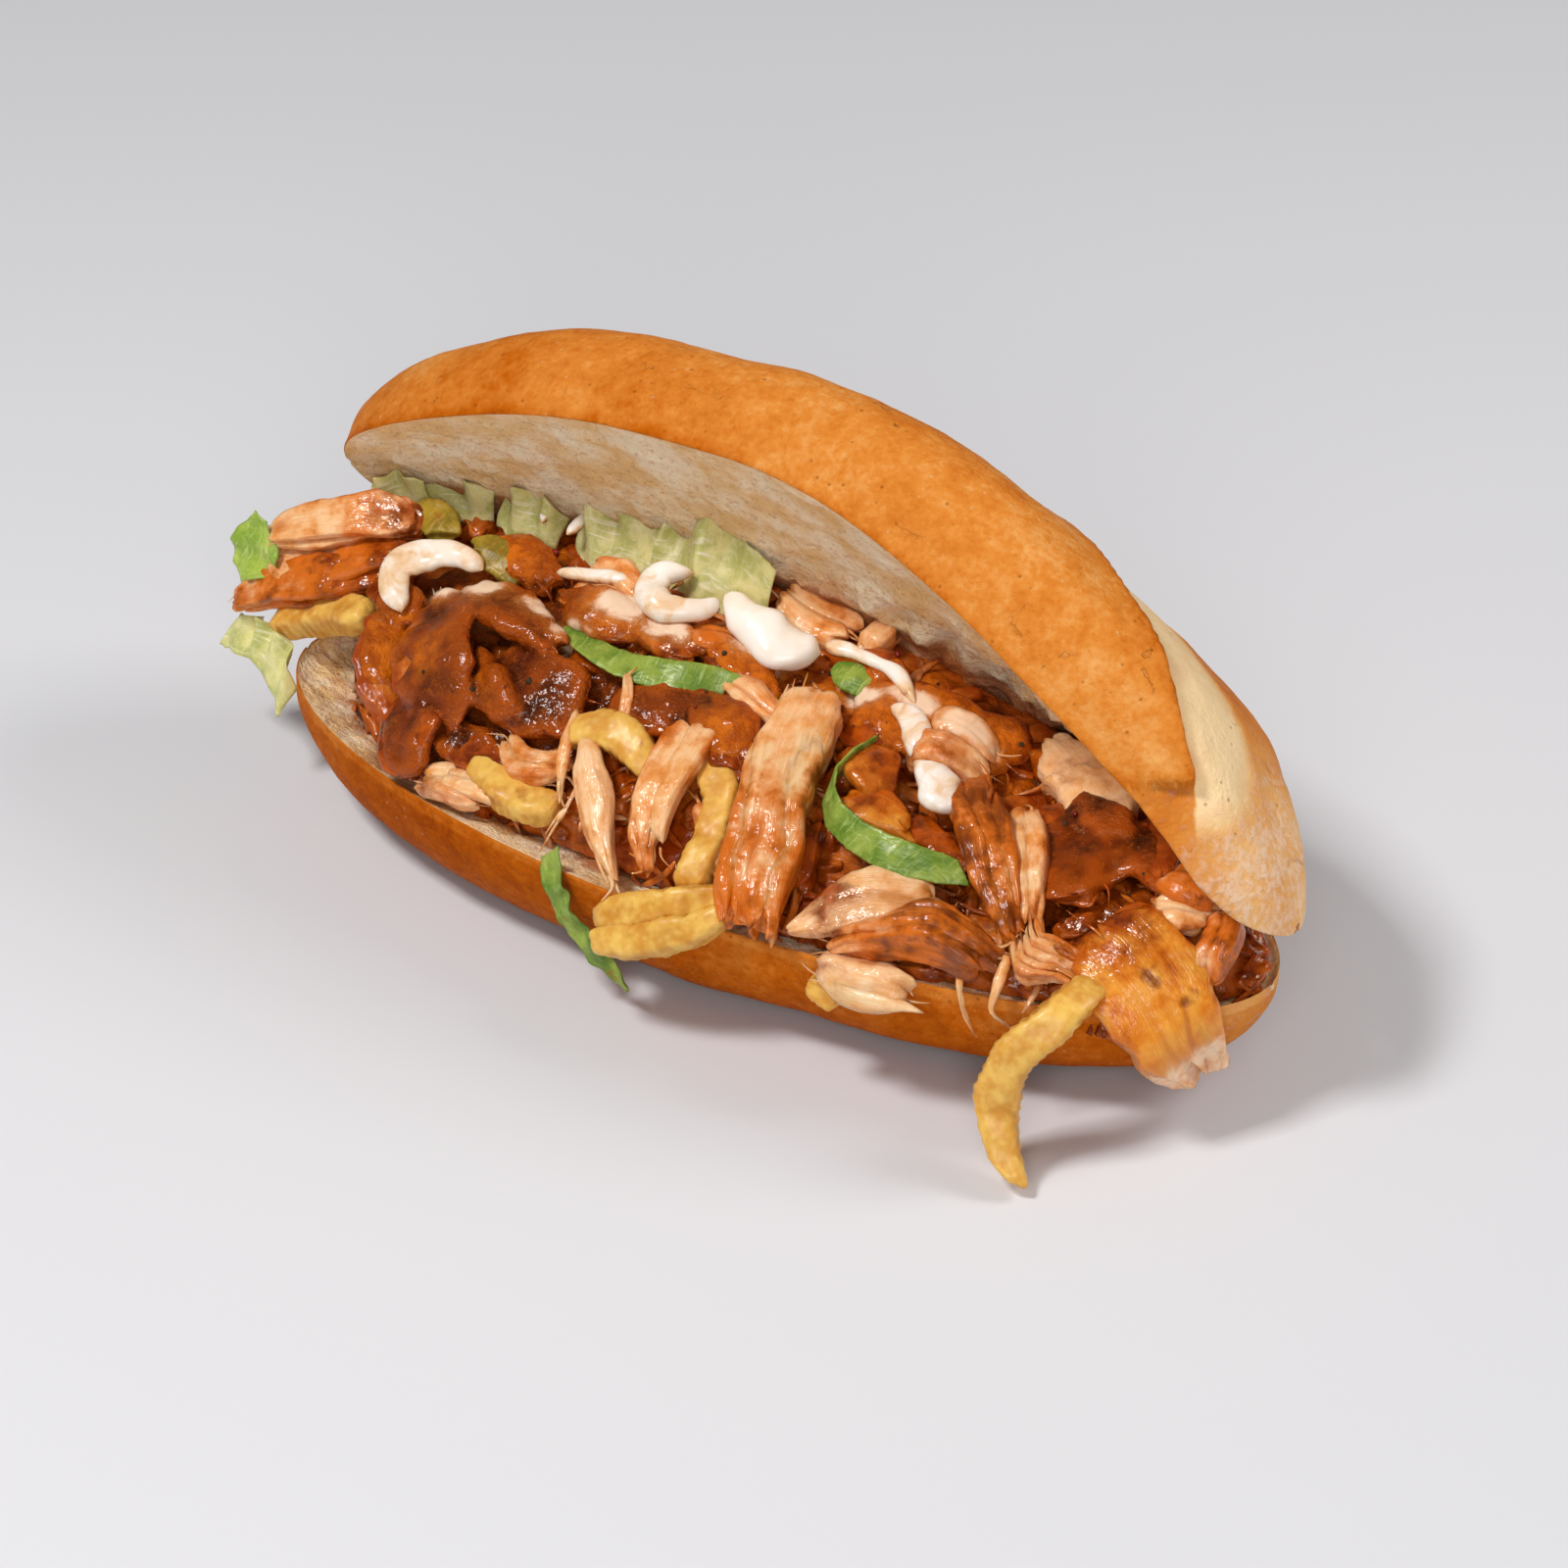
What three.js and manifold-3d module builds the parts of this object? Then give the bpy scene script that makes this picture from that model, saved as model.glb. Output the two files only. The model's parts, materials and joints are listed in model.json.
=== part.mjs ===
// A hot chicken sandwich: a crusty oblong roll, split along one long side and opened like a book,
// heaped with torn chicken, chips, shredded lettuce, garlic mayonnaise and brown sauce.
// Millimetres, +Z up. +X runs along the roll, the filled side faces -Y, and the roll stands on z = 0.
import * as THREE from "three";
import { mergeVertices } from "three/addons/utils/BufferGeometryUtils.js";
import Module from "manifold-3d";

const wasm = await Module();
wasm.setup();

// ---------------------------------------------------------------- driving dimensions

const BASE = {
  from: -142, // left end
  to: 141, // right end
  width: 109, // across, crust to crust
  planPower: 1.9, // roundness of the plan: 2 is an ellipse, more is blunter
  height: 34, // board to the cut face
  footSink: 3, // how much of the round belly the flat foot takes off
  power: 2.7, // roundness of the section
};

const LID = {
  from: -140.5,
  to: 147, // the nose of the lid reaches out past the base
  width: 110,
  planPower: 1.95,
  height: 39, // cut face to the top of the dome
  power: 3.7,
  forward: 3, // how far the lid has slid towards the filled side
};

// The lid turns about this line. The uncut bread along the back, the web, keeps both halves together.
const HINGE = { y: 47, z: 38 };
const WEB = { reach: 82, deep: 7, high: 9, z: 36, inside: 7, steps: 10, sides: 8 };

// How far the lid stands open: share of the roll's length from the left end, and degrees.
const OPENING = [
  [0, 57],
  [0.25, 64],
  [0.5, 63],
  [0.68, 54],
  [0.86, 40],
  [0.94, 30],
  [1, 10],
];

// The right end of the roll curves a little towards the filled side.
const BEND = { from: 20, to: 147, by: 6 };

const STATIONS = 22; // sections along each half
const ARC_STEPS = 9; // steps round the crust of one section

// The score across the lid. The crust on its near left side stands proud as a flap, bounded by two planes:
// one behind it and one below its end. Beyond them the nose is lower by the two steps together.
const SCORE = {
  behind: { point: [114, -8, 104], facing: [0.51, 0.75, -0.24] },
  below: { point: [118, -20, 92], facing: [0.38, -0.53, -0.76] },
  flapStep: 1.5,
  noseStep: 1,
};

const GAP = 0.3; // air between neighbouring solids

// The filling slopes up from the base's front rim to the lid's cut face.
// Where the slope starts and where it ends, every so often along the roll: x, y, z.
const HEAP_FOOT = [
  [-139, 8, 35],
  [-125, -12, 35],
  [-114, -22, 35],
  [-100, -31, 35],
  [-86, -41, 36],
  [-40, -44, 37],
  [20, -52, 37],
  [58, -52, 37],
  [83, -48, 37],
  [107, -43, 37],
  [125, -36, 37],
  [135, -24, 37],
  [139, -8, 37],
];
const HEAP_TOP = [
  [-139, 24, 66],
  [-118, 29.5, 73],
  [-77, 34.5, 71],
  [-46, 33, 77],
  [-28, 32, 78],
  [-5, 36, 69],
  [27, 34, 67],
  [50, 35, 60],
  [75, 30, 53],
  [95, 20, 55],
  [115, 8, 56],
  [130, -2, 50],
  [139, -6, 44],
];
const HEAP = { from: -135, to: 136, bulge: 6, sunk: 2.5, steps: 21, upSteps: 6 };

// ---------------------------------------------------------------- small helpers

const radians = THREE.MathUtils.degToRad;
const mix = THREE.MathUtils.lerp;
const smooth = THREE.MathUtils.smoothstep;

/** A point of a superellipse quarter or arc: sign-safe power of a cosine or sine. */
const squarish = (value, power) => Math.sign(value) * Math.abs(value) ** (2 / power);

/** A closed solid through rings of the same number of points, with both ends capped. */
function loft(rings) {
  const count = rings[0].length;
  const positions = rings.flat().flatMap((p) => [p.x, p.y, p.z]);
  const index = [];
  for (let i = 0; i + 1 < rings.length; i++) {
    for (let j = 0; j < count; j++) {
      const a = i * count + j;
      const b = i * count + ((j + 1) % count);
      index.push(a, b, a + count, b, b + count, a + count);
    }
  }
  for (const [ring, turned] of [[0, true], [rings.length - 1, false]]) {
    const centre = rings[ring].reduce((sum, p) => sum.add(p), new THREE.Vector3()).divideScalar(count);
    const tip = positions.length / 3;
    positions.push(centre.x, centre.y, centre.z);
    for (let j = 0; j < count; j++) {
      const a = ring * count + j;
      const b = ring * count + ((j + 1) % count);
      index.push(...(turned ? [b, a, tip] : [a, b, tip]));
    }
  }
  const geometry = new THREE.BufferGeometry();
  geometry.setAttribute("position", new THREE.Float32BufferAttribute(positions, 3));
  geometry.setIndex(index);
  return geometry;
}

/** A three.js geometry as a manifold-3d solid, for cutting and joining. */
function solidOf(geometry) {
  const bare = geometry.clone();
  bare.deleteAttribute("normal");
  bare.deleteAttribute("uv");
  const merged = mergeVertices(bare, 1e-3);
  const solid = new wasm.Manifold(
    new wasm.Mesh({
      numProp: 3,
      vertProperties: merged.getAttribute("position").array,
      triVerts: new Uint32Array(merged.index.array),
    }),
  );
  return solid;
}

/** A manifold-3d solid as a three.js geometry. */
function geometryOf(solid) {
  const mesh = solid.getMesh();
  const geometry = new THREE.BufferGeometry();
  geometry.setAttribute("position", new THREE.BufferAttribute(new Float32Array(mesh.vertProperties), 3));
  geometry.setIndex(new THREE.BufferAttribute(new Uint32Array(mesh.triVerts), 1));
  return geometry;
}

// ---------------------------------------------------------------- the roll

/** Where x lies along a half of the roll: -1 at its left end, 1 at its right end. */
function alongHalf(half, x) {
  const share = (2 * x - half.from - half.to) / (half.to - half.from);
  return THREE.MathUtils.clamp(share, -0.9995, 0.9995);
}

/** Half the width at x, which gives the plan outline. */
function halfWidth(half, x) {
  return (half.width / 2) * (1 - Math.abs(alongHalf(half, x)) ** half.planPower) ** (1 / half.planPower);
}

/** How much of the full crust height is left at x, near the rounded ends. */
function endTaper(half, x) {
  return (1 - Math.abs(alongHalf(half, x)) ** 3.2) ** (1 / 2.4);
}

/** Straight runs between the rows of a table whose first column is where, read from another column. */
function between(rows, where, column = 1) {
  const last = rows.length - 1;
  if (where <= rows[0][0]) return rows[0][column];
  if (where >= rows[last][0]) return rows[last][column];
  const i = rows.findIndex(([at]) => at > where);
  const share = (where - rows[i - 1][0]) / (rows[i][0] - rows[i - 1][0]);
  return mix(rows[i - 1][column], rows[i][column], share);
}

/** The lid's opening angle at x, in radians. */
const openingAt = (x) => radians(between(OPENING, (x - LID.from) / (LID.to - LID.from)));

/** How far the roll bends towards the filled side at x. */
const bendAt = (x) => -BEND.by * smooth(x, BEND.from, BEND.to);

/** Section places along a half, closer together at the rounded ends. */
function stationsOf(half) {
  const middle = (half.from + half.to) / 2;
  const reach = (half.to - half.from) / 2;
  return Array.from({ length: STATIONS + 1 }, (_, i) => {
    return middle - reach * 0.9995 * Math.cos((Math.PI * i) / STATIONS);
  });
}

/** One section of half a roll: round the crust from front to back, then back across the cut face. */
function halfSection(half, x, crustHeight, hollow, grow) {
  const wide = halfWidth(half, x) + grow;
  const tall = crustHeight * endTaper(half, x) + grow;
  const ring = [];
  for (let k = 0; k <= ARC_STEPS; k++) {
    const angle = Math.PI * (1 - k / ARC_STEPS);
    ring.push({
      y: wide * squarish(Math.cos(angle), half.power),
      h: tall * squarish(Math.sin(angle), half.power) - grow,
    });
  }
  for (const share of [0.8, 0.4, 0, -0.4, -0.8]) {
    ring.push({ y: wide * share, h: hollow * endTaper(half, x) * (1 - share ** 2) - grow });
  }
  return ring;
}

/** The bottom half: crust down, with a flat foot, and a shallow bed pressed into the crumb. */
function makeBase(grow = 0) {
  return loft(
    stationsOf(BASE).map((x) =>
      halfSection(BASE, x, BASE.height + BASE.footSink, 10, grow).map(
        ({ y, h }) => new THREE.Vector3(x, y + bendAt(x), Math.max(BASE.height - h, -grow)),
      ),
    ),
  );
}

/** The top half, swung open about the hinge by an angle that falls off towards the nose. */
function makeLid(grow = 0, thinner = 0) {
  return loft(
    stationsOf(LID).map((x) => {
      const angle = openingAt(x);
      return halfSection(LID, x, LID.height - thinner, 5, grow)
        .map(({ y, h }) => {
          const out = y - LID.forward - HINGE.y;
          return new THREE.Vector3(
            x,
            HINGE.y + out * Math.cos(angle) + h * Math.sin(angle) + bendAt(x),
            HINGE.z - out * Math.sin(angle) + h * Math.cos(angle),
          );
        })
        .reverse();
    }),
  );
}

/** The uncut bread at the back: a rounded web along the hinge that dies out where the halves part. */
function makeWeb(grow = 0) {
  const rings = [];
  for (let i = 0; i <= WEB.steps; i++) {
    const x = mix(-WEB.reach, WEB.reach, i / WEB.steps);
    const full = Math.sqrt(Math.max(1 - (x / WEB.reach) ** 6, 0.1));
    const y = Math.min(HINGE.y - 1, halfWidth(BASE, x) - WEB.inside) + bendAt(x);
    const ring = [];
    for (let j = 0; j < WEB.sides; j++) {
      const angle = (2 * Math.PI * (j + 0.5)) / WEB.sides;
      const across = (WEB.deep * full + grow) * Math.cos(angle);
      ring.push(new THREE.Vector3(x, y + across, WEB.z + (WEB.high * full + grow) * Math.sin(angle)));
    }
    rings.push(ring);
  }
  return loft(rings);
}

/** Everything in front of a plane, as a large block to cut with. */
function blockBeyond({ point, facing }) {
  const size = 300;
  const direction = new THREE.Vector3(...facing).normalize();
  const block = new THREE.BoxGeometry(size, size, size);
  block.translate(0, 0, size / 2);
  block.applyQuaternion(new THREE.Quaternion().setFromUnitVectors(new THREE.Vector3(0, 0, 1), direction));
  block.translate(...point);
  return solidOf(block);
}

/** The whole roll: both halves are one piece of bread, joined along the hinge. */
function makeRoll(grow = 0) {
  const flap = solidOf(makeLid(grow, -SCORE.flapStep))
    .subtract(blockBeyond(SCORE.behind))
    .subtract(blockBeyond(SCORE.below));
  const nose = solidOf(makeLid(grow, SCORE.noseStep));
  return solidOf(makeBase(grow)).add(flap).add(nose).add(solidOf(makeWeb(grow)));
}

// ---------------------------------------------------------------- the slope of the filling

/** A place on the slope: x along the roll, share of the way up from rim to lid, height above the slope. */
function on(x, share, height = 0) {
  const foot = { y: between(HEAP_FOOT, x, 1), z: between(HEAP_FOOT, x, 2) };
  const top = { y: between(HEAP_TOP, x, 1), z: between(HEAP_TOP, x, 2) };
  const out = new THREE.Vector3(0, foot.z - top.z, top.y - foot.y).normalize();
  const rise = HEAP.bulge * Math.sin(Math.PI * THREE.MathUtils.clamp(share, 0, 1)) + height;
  const point = new THREE.Vector3(x, mix(foot.y, top.y, share), mix(foot.z, top.z, share));
  return { point: point.addScaledVector(out, rise), out };
}

/** A place off the slope, with the way its piece faces. */
function at(x, y, z, facing = [0, -1, 0.3]) {
  return { point: new THREE.Vector3(x, y, z), out: new THREE.Vector3(...facing).normalize() };
}

/** The packed filling under the pieces: it fills the bread's mouth up to just below the slope. */
function makeHeap() {
  const rings = [];
  for (let i = 0; i <= HEAP.steps; i++) {
    const x = mix(HEAP.from, HEAP.to, i / HEAP.steps);
    const full = Math.sqrt(Math.max(1 - Math.abs((2 * i) / HEAP.steps - 1) ** 6, 0.02));
    const ring = [];
    for (let k = 0; k <= HEAP.upSteps; k++) {
      ring.push(on(x, mix(0.06, 1, k / HEAP.upSteps), -HEAP.sunk - (1 - full) * 14).point);
    }
    const top = ring[HEAP.upSteps];
    const back = Math.min(HINGE.y, halfWidth(BASE, x) + bendAt(x) - 5);
    ring.push(new THREE.Vector3(x, Math.max(top.y, back) + 1, top.z));
    ring.push(new THREE.Vector3(x, Math.max(back, ring[0].y + 1), HINGE.z - 12));
    ring.push(new THREE.Vector3(x, ring[0].y, HINGE.z - 12));
    rings.push(ring.reverse());
  }
  return loft(rings);
}

// ---------------------------------------------------------------- pieces of filling

/** A value that runs along a piece: one number, or several spread evenly from its start to its end. */
function spread(values, share) {
  if (typeof values === "number") return values;
  const place = share * (values.length - 1);
  const i = Math.min(Math.floor(place), values.length - 2);
  return mix(values[i], values[i + 1], place - i);
}

/** What a piece has when it says nothing else. */
const USUAL = { turn: 0, sides: 6, steps: 5, uneven: 0.08, blunt: 0.6, seed: 0 };

/**
 * A torn, cut or squeezed piece that follows a route of places. It is wide across the route and thick along
 * the way it faces. It is turned about the route by some degrees, rounded at both ends, and uneven by a share
 * of its size.
 */
function strip(piece, grow = 0) {
  const { route, wide, thick, turn, sides, steps, uneven, blunt, seed } = { ...USUAL, ...piece };
  const curve = new THREE.CatmullRomCurve3(route.map(({ point }) => point), false, "centripetal");
  const rings = [];
  for (let i = 0; i <= steps; i++) {
    const share = i / steps;
    const place = share * (route.length - 1);
    const leg = Math.min(Math.floor(place), route.length - 2);
    const facing = route[leg].out.clone().lerp(route[leg + 1].out, place - leg);
    const ahead = curve.getTangent(share);
    const across = new THREE.Vector3().crossVectors(facing, ahead).normalize();
    const outward = new THREE.Vector3().crossVectors(ahead, across).normalize();
    const turned = new THREE.Quaternion().setFromAxisAngle(ahead, radians(spread(turn, share)));
    across.applyQuaternion(turned);
    outward.applyQuaternion(turned);
    const full = i === 0 || i === steps ? blunt : 1;
    const centre = curve.getPoint(share);
    if (i === 0) centre.addScaledVector(ahead, -grow);
    if (i === steps) centre.addScaledVector(ahead, grow);
    const ring = [];
    for (let j = 0; j < sides; j++) {
      const angle = (2 * Math.PI * (j + 0.5)) / sides;
      const wobble = 1 + uneven * Math.sin(2.3 * i + 1.9 * j + 5 * seed);
      const halfWide = (spread(wide, share) / 2) * full * wobble + grow;
      const halfThick = (spread(thick, share) / 2) * full * wobble + grow;
      ring.push(
        centre
          .clone()
          .addScaledVector(across, halfWide * squarish(Math.cos(angle), 2.4))
          .addScaledVector(outward, halfThick * squarish(Math.sin(angle), 2.4)),
      );
    }
    rings.push(ring);
  }
  return loft(rings);
}

// The pieces, from the ones that lie on top to the ones underneath; each cuts its bed in those below it.
const PIECES = [
  // torn and sliced chicken on top of the slope
  {
    name: "chicken_large",
    kind: "chicken",
    route: [on(9, 0.66, 5), on(12, 0.5, 7), on(17, 0.3, 8), on(22, 0.1, 8), on(26, -0.05, 5)],
    wide: [17, 19, 18, 17, 11],
    thick: [8, 11, 11, 10, 7],
    turn: -8,
    sides: 8,
    steps: 9,
  },
  {
    name: "chicken_upright",
    kind: "chicken",
    route: [on(-11, 0.5, 3), on(-13, 0.32, 5), on(-13, 0.16, 6), on(-8, -0.01, 4)],
    wide: [12, 15, 15, 9],
    thick: [6, 9, 9, 6],
    seed: 1,
  },
  {
    name: "chicken_pointed",
    kind: "chicken",
    route: [on(-43, 0.33, 4), on(-36, 0.2, 5), on(-25, 0.06, 5), on(-12, -0.09, 3)],
    wide: [4, 9, 12, 2],
    thick: [3, 5, 6, 2],
    turn: 20,
    seed: 2,
  },
  {
    name: "chicken_charred",
    kind: "chicken",
    route: [on(55, 0.62, 4), on(64, 0.5, 7), on(75, 0.34, 7), on(86, 0.18, 4)],
    wide: [13, 16, 15, 9],
    thick: [5, 8, 9, 6],
    turn: 12,
    seed: 3,
  },
  {
    name: "chicken_pale_strip",
    kind: "chicken",
    route: [on(69, 0.66, 3), on(76, 0.52, 5), on(82, 0.38, 5), on(88, 0.26, 3)],
    wide: [7, 10, 11, 7],
    thick: [5, 7, 7, 5],
    seed: 4,
  },
  // chips
  {
    name: "chip_hanging",
    kind: "chip",
    route: [on(109, 0.1, 2), at(107, -52, 41), at(99, -60, 31), at(97, -64, 17), at(105, -70, 5.5)],
    wide: [9, 11, 11, 10, 8],
    thick: [8, 10, 10, 9, 7],
    steps: 8,
    uneven: 0.03,
    blunt: 0.75,
  },
  {
    name: "chip_double",
    kind: "chip",
    route: [at(-17, -60, 26, [0, -1, 0.7]), at(0, -58, 33, [0, -1, 0.8]), at(17, -53, 42, [0, -1, 1])],
    wide: [15, 18, 12],
    thick: [10, 11, 9],
    steps: 6,
    uneven: 0.06,
    blunt: 0.8,
    seed: 1,
  },
  {
    name: "chip_upper",
    kind: "chip",
    route: [on(-44, 0.28, 3), on(-33, 0.33, 4), on(-20, 0.27, 2)],
    wide: [9, 11, 10],
    thick: [8, 9, 9],
    uneven: 0.03,
    blunt: 0.8,
    seed: 2,
  },
  {
    name: "chip_behind",
    kind: "chip",
    route: [on(-8, 0.36, 2), on(0, 0.29, 2), on(3, 0.14, 2), on(3, 0.02, 2)],
    wide: 10,
    thick: 9,
    steps: 6,
    uneven: 0.03,
    blunt: 0.8,
    seed: 3,
  },
  {
    name: "chip_low",
    kind: "chip",
    route: [on(-67, 0.1, 2), on(-54, 0.05, 3), on(-40, 0.06, 2)],
    wide: 10,
    thick: 9,
    uneven: 0.03,
    blunt: 0.8,
    seed: 4,
  },
  {
    name: "chip_left",
    kind: "chip",
    route: [at(-149, -3, 40, [0, -0.5, 1]), at(-134, -2, 47, [0, -0.5, 1]), on(-119, 0.36, 2)],
    wide: 10,
    thick: 9,
    uneven: 0.03,
    blunt: 0.8,
    seed: 5,
  },
  // cut green leaves
  {
    name: "green_ribbon_left",
    kind: "greens",
    route: [
      on(-62, 0.6, 3),
      on(-50, 0.54, 5),
      on(-38, 0.52, 5),
      on(-26, 0.55, 4),
      on(-13, 0.6, 4),
      on(2, 0.6, 3),
    ],
    wide: [5, 9, 10, 10, 8, 4],
    thick: 1.4,
    turn: [0, -25, -10, 10, 20, 30],
    steps: 8,
    uneven: 0.02,
    blunt: 0.8,
  },
  {
    name: "green_ribbon_right",
    kind: "greens",
    route: [
      on(29, 0.62, 4),
      on(26, 0.46, 6),
      on(30, 0.34, 8),
      on(43, 0.27, 9),
      on(57, 0.27, 9),
      on(70, 0.31, 6),
    ],
    wide: [6, 9, 9, 10, 10, 8],
    thick: 1.4,
    turn: [80, 75, 50, 35, 30, 25],
    steps: 9,
    uneven: 0.02,
    blunt: 0.8,
  },
  {
    name: "green_fold",
    kind: "greens",
    route: [on(7, 0.8, 3), on(15, 0.78, 4), on(24, 0.79, 3)],
    wide: [6, 11, 9],
    thick: 2.6,
    uneven: 0.05,
    blunt: 0.7,
  },
  {
    name: "green_hanging",
    kind: "greens",
    route: [at(-36, -51.5, 37), at(-29, -57, 26), at(-21, -57, 17), at(-10, -57, 8)],
    wide: [7, 8, 6, 3],
    thick: 1.6,
    steps: 7,
    uneven: 0.05,
    blunt: 0.7,
  },
  // garlic mayonnaise
  {
    name: "mayo_ring",
    kind: "mayo",
    route: [
      on(-92, 0.66, 3),
      on(-100, 0.76, 4),
      on(-110, 0.72, 4),
      on(-113, 0.58, 5),
      on(-104, 0.48, 4),
      on(-90, 0.56, 3),
    ],
    wide: [6, 7, 8, 8, 8, 9],
    thick: [4, 5, 6, 6, 6, 4],
    steps: 8,
    uneven: 0.03,
  },
  {
    name: "mayo_swirl",
    kind: "mayo",
    route: [
      on(-37, 0.9, 5),
      on(-45, 0.85, 6),
      on(-44, 0.76, 7),
      on(-36, 0.7, 7),
      on(-28, 0.76, 6),
      on(-27, 0.87, 4),
    ],
    wide: [6, 8, 9, 9, 7, 4],
    thick: [5, 6, 7, 7, 6, 4],
    steps: 8,
    uneven: 0.03,
  },
  {
    name: "mayo_large",
    kind: "mayo",
    route: [on(-24, 0.82, 3), on(-14, 0.76, 5), on(-5, 0.78, 4), on(4, 0.85, 3)],
    wide: [5, 14, 12, 4],
    thick: [4, 8, 7, 3],
    uneven: 0.03,
  },
  {
    name: "mayo_streak_right",
    kind: "mayo",
    route: [on(3, 0.93, 4), on(14, 0.9, 6), on(25, 0.88, 5), on(31, 0.78, 4)],
    wide: [4, 6, 6, 3],
    thick: [3, 4, 4, 3],
    uneven: 0.03,
  },
  {
    name: "mayo_streak_left",
    kind: "mayo",
    route: [on(-72, 0.78, 3), on(-62, 0.8, 4), on(-51, 0.83, 3)],
    wide: [4, 7, 9],
    thick: [3, 4, 4],
    uneven: 0.03,
  },
  {
    name: "mayo_curl",
    kind: "mayo",
    route: [on(29, 0.7, 3), on(36, 0.68, 4), on(40, 0.6, 4)],
    wide: [7, 9, 6],
    thick: [4, 6, 4],
    uneven: 0.03,
  },
  {
    name: "mayo_low",
    kind: "mayo",
    route: [on(40, 0.6, 2), on(47, 0.54, 4), on(55, 0.52, 3)],
    wide: [7, 11, 8],
    thick: [4, 6, 4],
    uneven: 0.03,
  },
  // chicken along the front rim, from the middle to the nose
  {
    name: "chicken_wedge",
    kind: "chicken",
    route: [on(30, -0.05, 3), on(42, 0.08, 5), on(55, 0.17, 5), on(68, 0.2, 4)],
    wide: [3, 13, 17, 13],
    thick: [4, 8, 9, 7],
    turn: 10,
    seed: 5,
  },
  {
    name: "chicken_layered",
    kind: "chicken",
    route: [on(45, 0, 3), on(58, 0.07, 6), on(72, 0.08, 7), on(85, 0.05, 4)],
    wide: [8, 14, 17, 10],
    thick: [6, 9, 11, 8],
    seed: 6,
  },
  {
    name: "chicken_white",
    kind: "chicken",
    route: [at(46, -56, 36, [0, -1, 0.6]), at(56, -57, 33, [0, -1, 0.6]), at(67, -53, 34, [0, -1, 0.6])],
    wide: [8, 12, 12],
    thick: [6, 9, 9],
    seed: 7,
  },
  {
    name: "chip_end",
    kind: "chip",
    route: [at(42, -57, 30), at(50, -57, 28)],
    wide: [7, 9],
    thick: [6, 6],
    steps: 3,
    uneven: 0.03,
    blunt: 0.8,
    seed: 8,
  },
  {
    name: "chicken_frayed",
    kind: "chicken",
    route: [on(88, 0.26, 2), on(92, 0.12, 3), on(100, 0.14, 4), on(106, 0.05, 3)],
    wide: [9, 12, 12, 8],
    thick: [5, 7, 8, 6],
    seed: 9,
  },
  {
    name: "chicken_slab",
    kind: "glazed",
    route: [
      on(104, 0.45, 1),
      on(112, 0.25, 4),
      at(124, -33, 41, [0.1, -0.6, 1]),
      at(130, -32, 29, [0.5, -1, 0.4]),
      at(130, -28, 17, [0.5, -1, 0]),
    ],
    wide: [22, 27, 26, 20, 12],
    thick: [6, 7, 7, 6, 5],
    steps: 9,
    seed: 10,
  },
  {
    name: "chicken_rolled",
    kind: "chicken",
    route: [on(113, 0.66, 2), on(119, 0.72, 4), on(126, 0.74, 3)],
    wide: [9, 12, 10],
    thick: [8, 11, 9],
    seed: 11,
  },
  {
    name: "chicken_curved",
    kind: "chicken",
    route: [on(129, 0.8, 2), on(132, 0.5, 3), on(130, 0.2, 1)],
    wide: [7, 9, 7],
    thick: [6, 7, 6],
    steps: 6,
    seed: 12,
  },
  {
    name: "chicken_skin",
    kind: "glazed",
    route: [on(93, 0.84, 1), on(104, 0.84, 3), on(113, 0.8, 3)],
    wide: [8, 13, 12],
    thick: [3, 5, 4],
    seed: 13,
  },
  {
    name: "chicken_smeared",
    kind: "glazed",
    route: [on(59, 0.93, 1), on(71, 0.9, 3), on(83, 0.84, 3), on(94, 0.72, 1)],
    wide: [10, 16, 17, 9],
    thick: [5, 8, 8, 5],
    seed: 14,
  },
  // chicken between the green ribbons
  {
    name: "chicken_chunk",
    kind: "chicken",
    route: [on(35, 0.72, 2), on(45, 0.7, 6), on(55, 0.74, 3)],
    wide: [13, 23, 15],
    thick: [7, 11, 8],
    seed: 15,
  },
  {
    name: "chicken_orange_upper",
    kind: "glazed",
    route: [on(26, 0.56, 2), on(33, 0.53, 4), on(41, 0.5, 2)],
    wide: [8, 13, 8],
    thick: [5, 8, 5],
    seed: 16,
  },
  {
    name: "chicken_orange_lower",
    kind: "glazed",
    route: [on(30, 0.4, 2), on(39, 0.42, 4), on(49, 0.42, 2)],
    wide: [8, 12, 8],
    thick: [6, 8, 6],
    seed: 17,
  },
  {
    name: "chicken_under_lid",
    kind: "chicken",
    route: [on(-17, 0.98, 2), on(-5, 0.95, 3), on(6, 0.92, 2)],
    wide: [8, 14, 8],
    thick: [5, 7, 5],
    seed: 18,
  },
  {
    name: "chicken_stick",
    kind: "chicken",
    route: [on(14, 1.1, 2), on(12, 0.98, 4), on(10, 0.88, 4)],
    wide: [8, 9, 8],
    thick: [7, 8, 6],
    seed: 19,
  },
  // sauced chicken at the left
  {
    name: "chicken_sauced_diagonal",
    kind: "glazed",
    route: [on(-100, 0.52, 2), on(-88, 0.38, 4), on(-76, 0.26, 4), on(-63, 0.15, 2)],
    wide: [11, 17, 17, 9],
    thick: [6, 9, 9, 6],
    seed: 20,
  },
  {
    name: "chicken_sauced_orange",
    kind: "glazed",
    route: [on(-113, 0.42, 2), on(-108, 0.28, 4), on(-98, 0.12, 3)],
    wide: [10, 14, 12],
    thick: [6, 9, 8],
    seed: 21,
  },
  {
    name: "chicken_sauced_dark",
    kind: "glazed",
    route: [on(-92, 0.56, 1), on(-78, 0.48, 4), on(-62, 0.44, 3)],
    wide: [12, 19, 13],
    thick: [6, 9, 7],
    seed: 22,
  },
  {
    name: "chicken_sauced_middle",
    kind: "glazed",
    route: [on(-78, 0.36, 1), on(-62, 0.31, 4), on(-45, 0.38, 3)],
    wide: [12, 22, 14],
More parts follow.
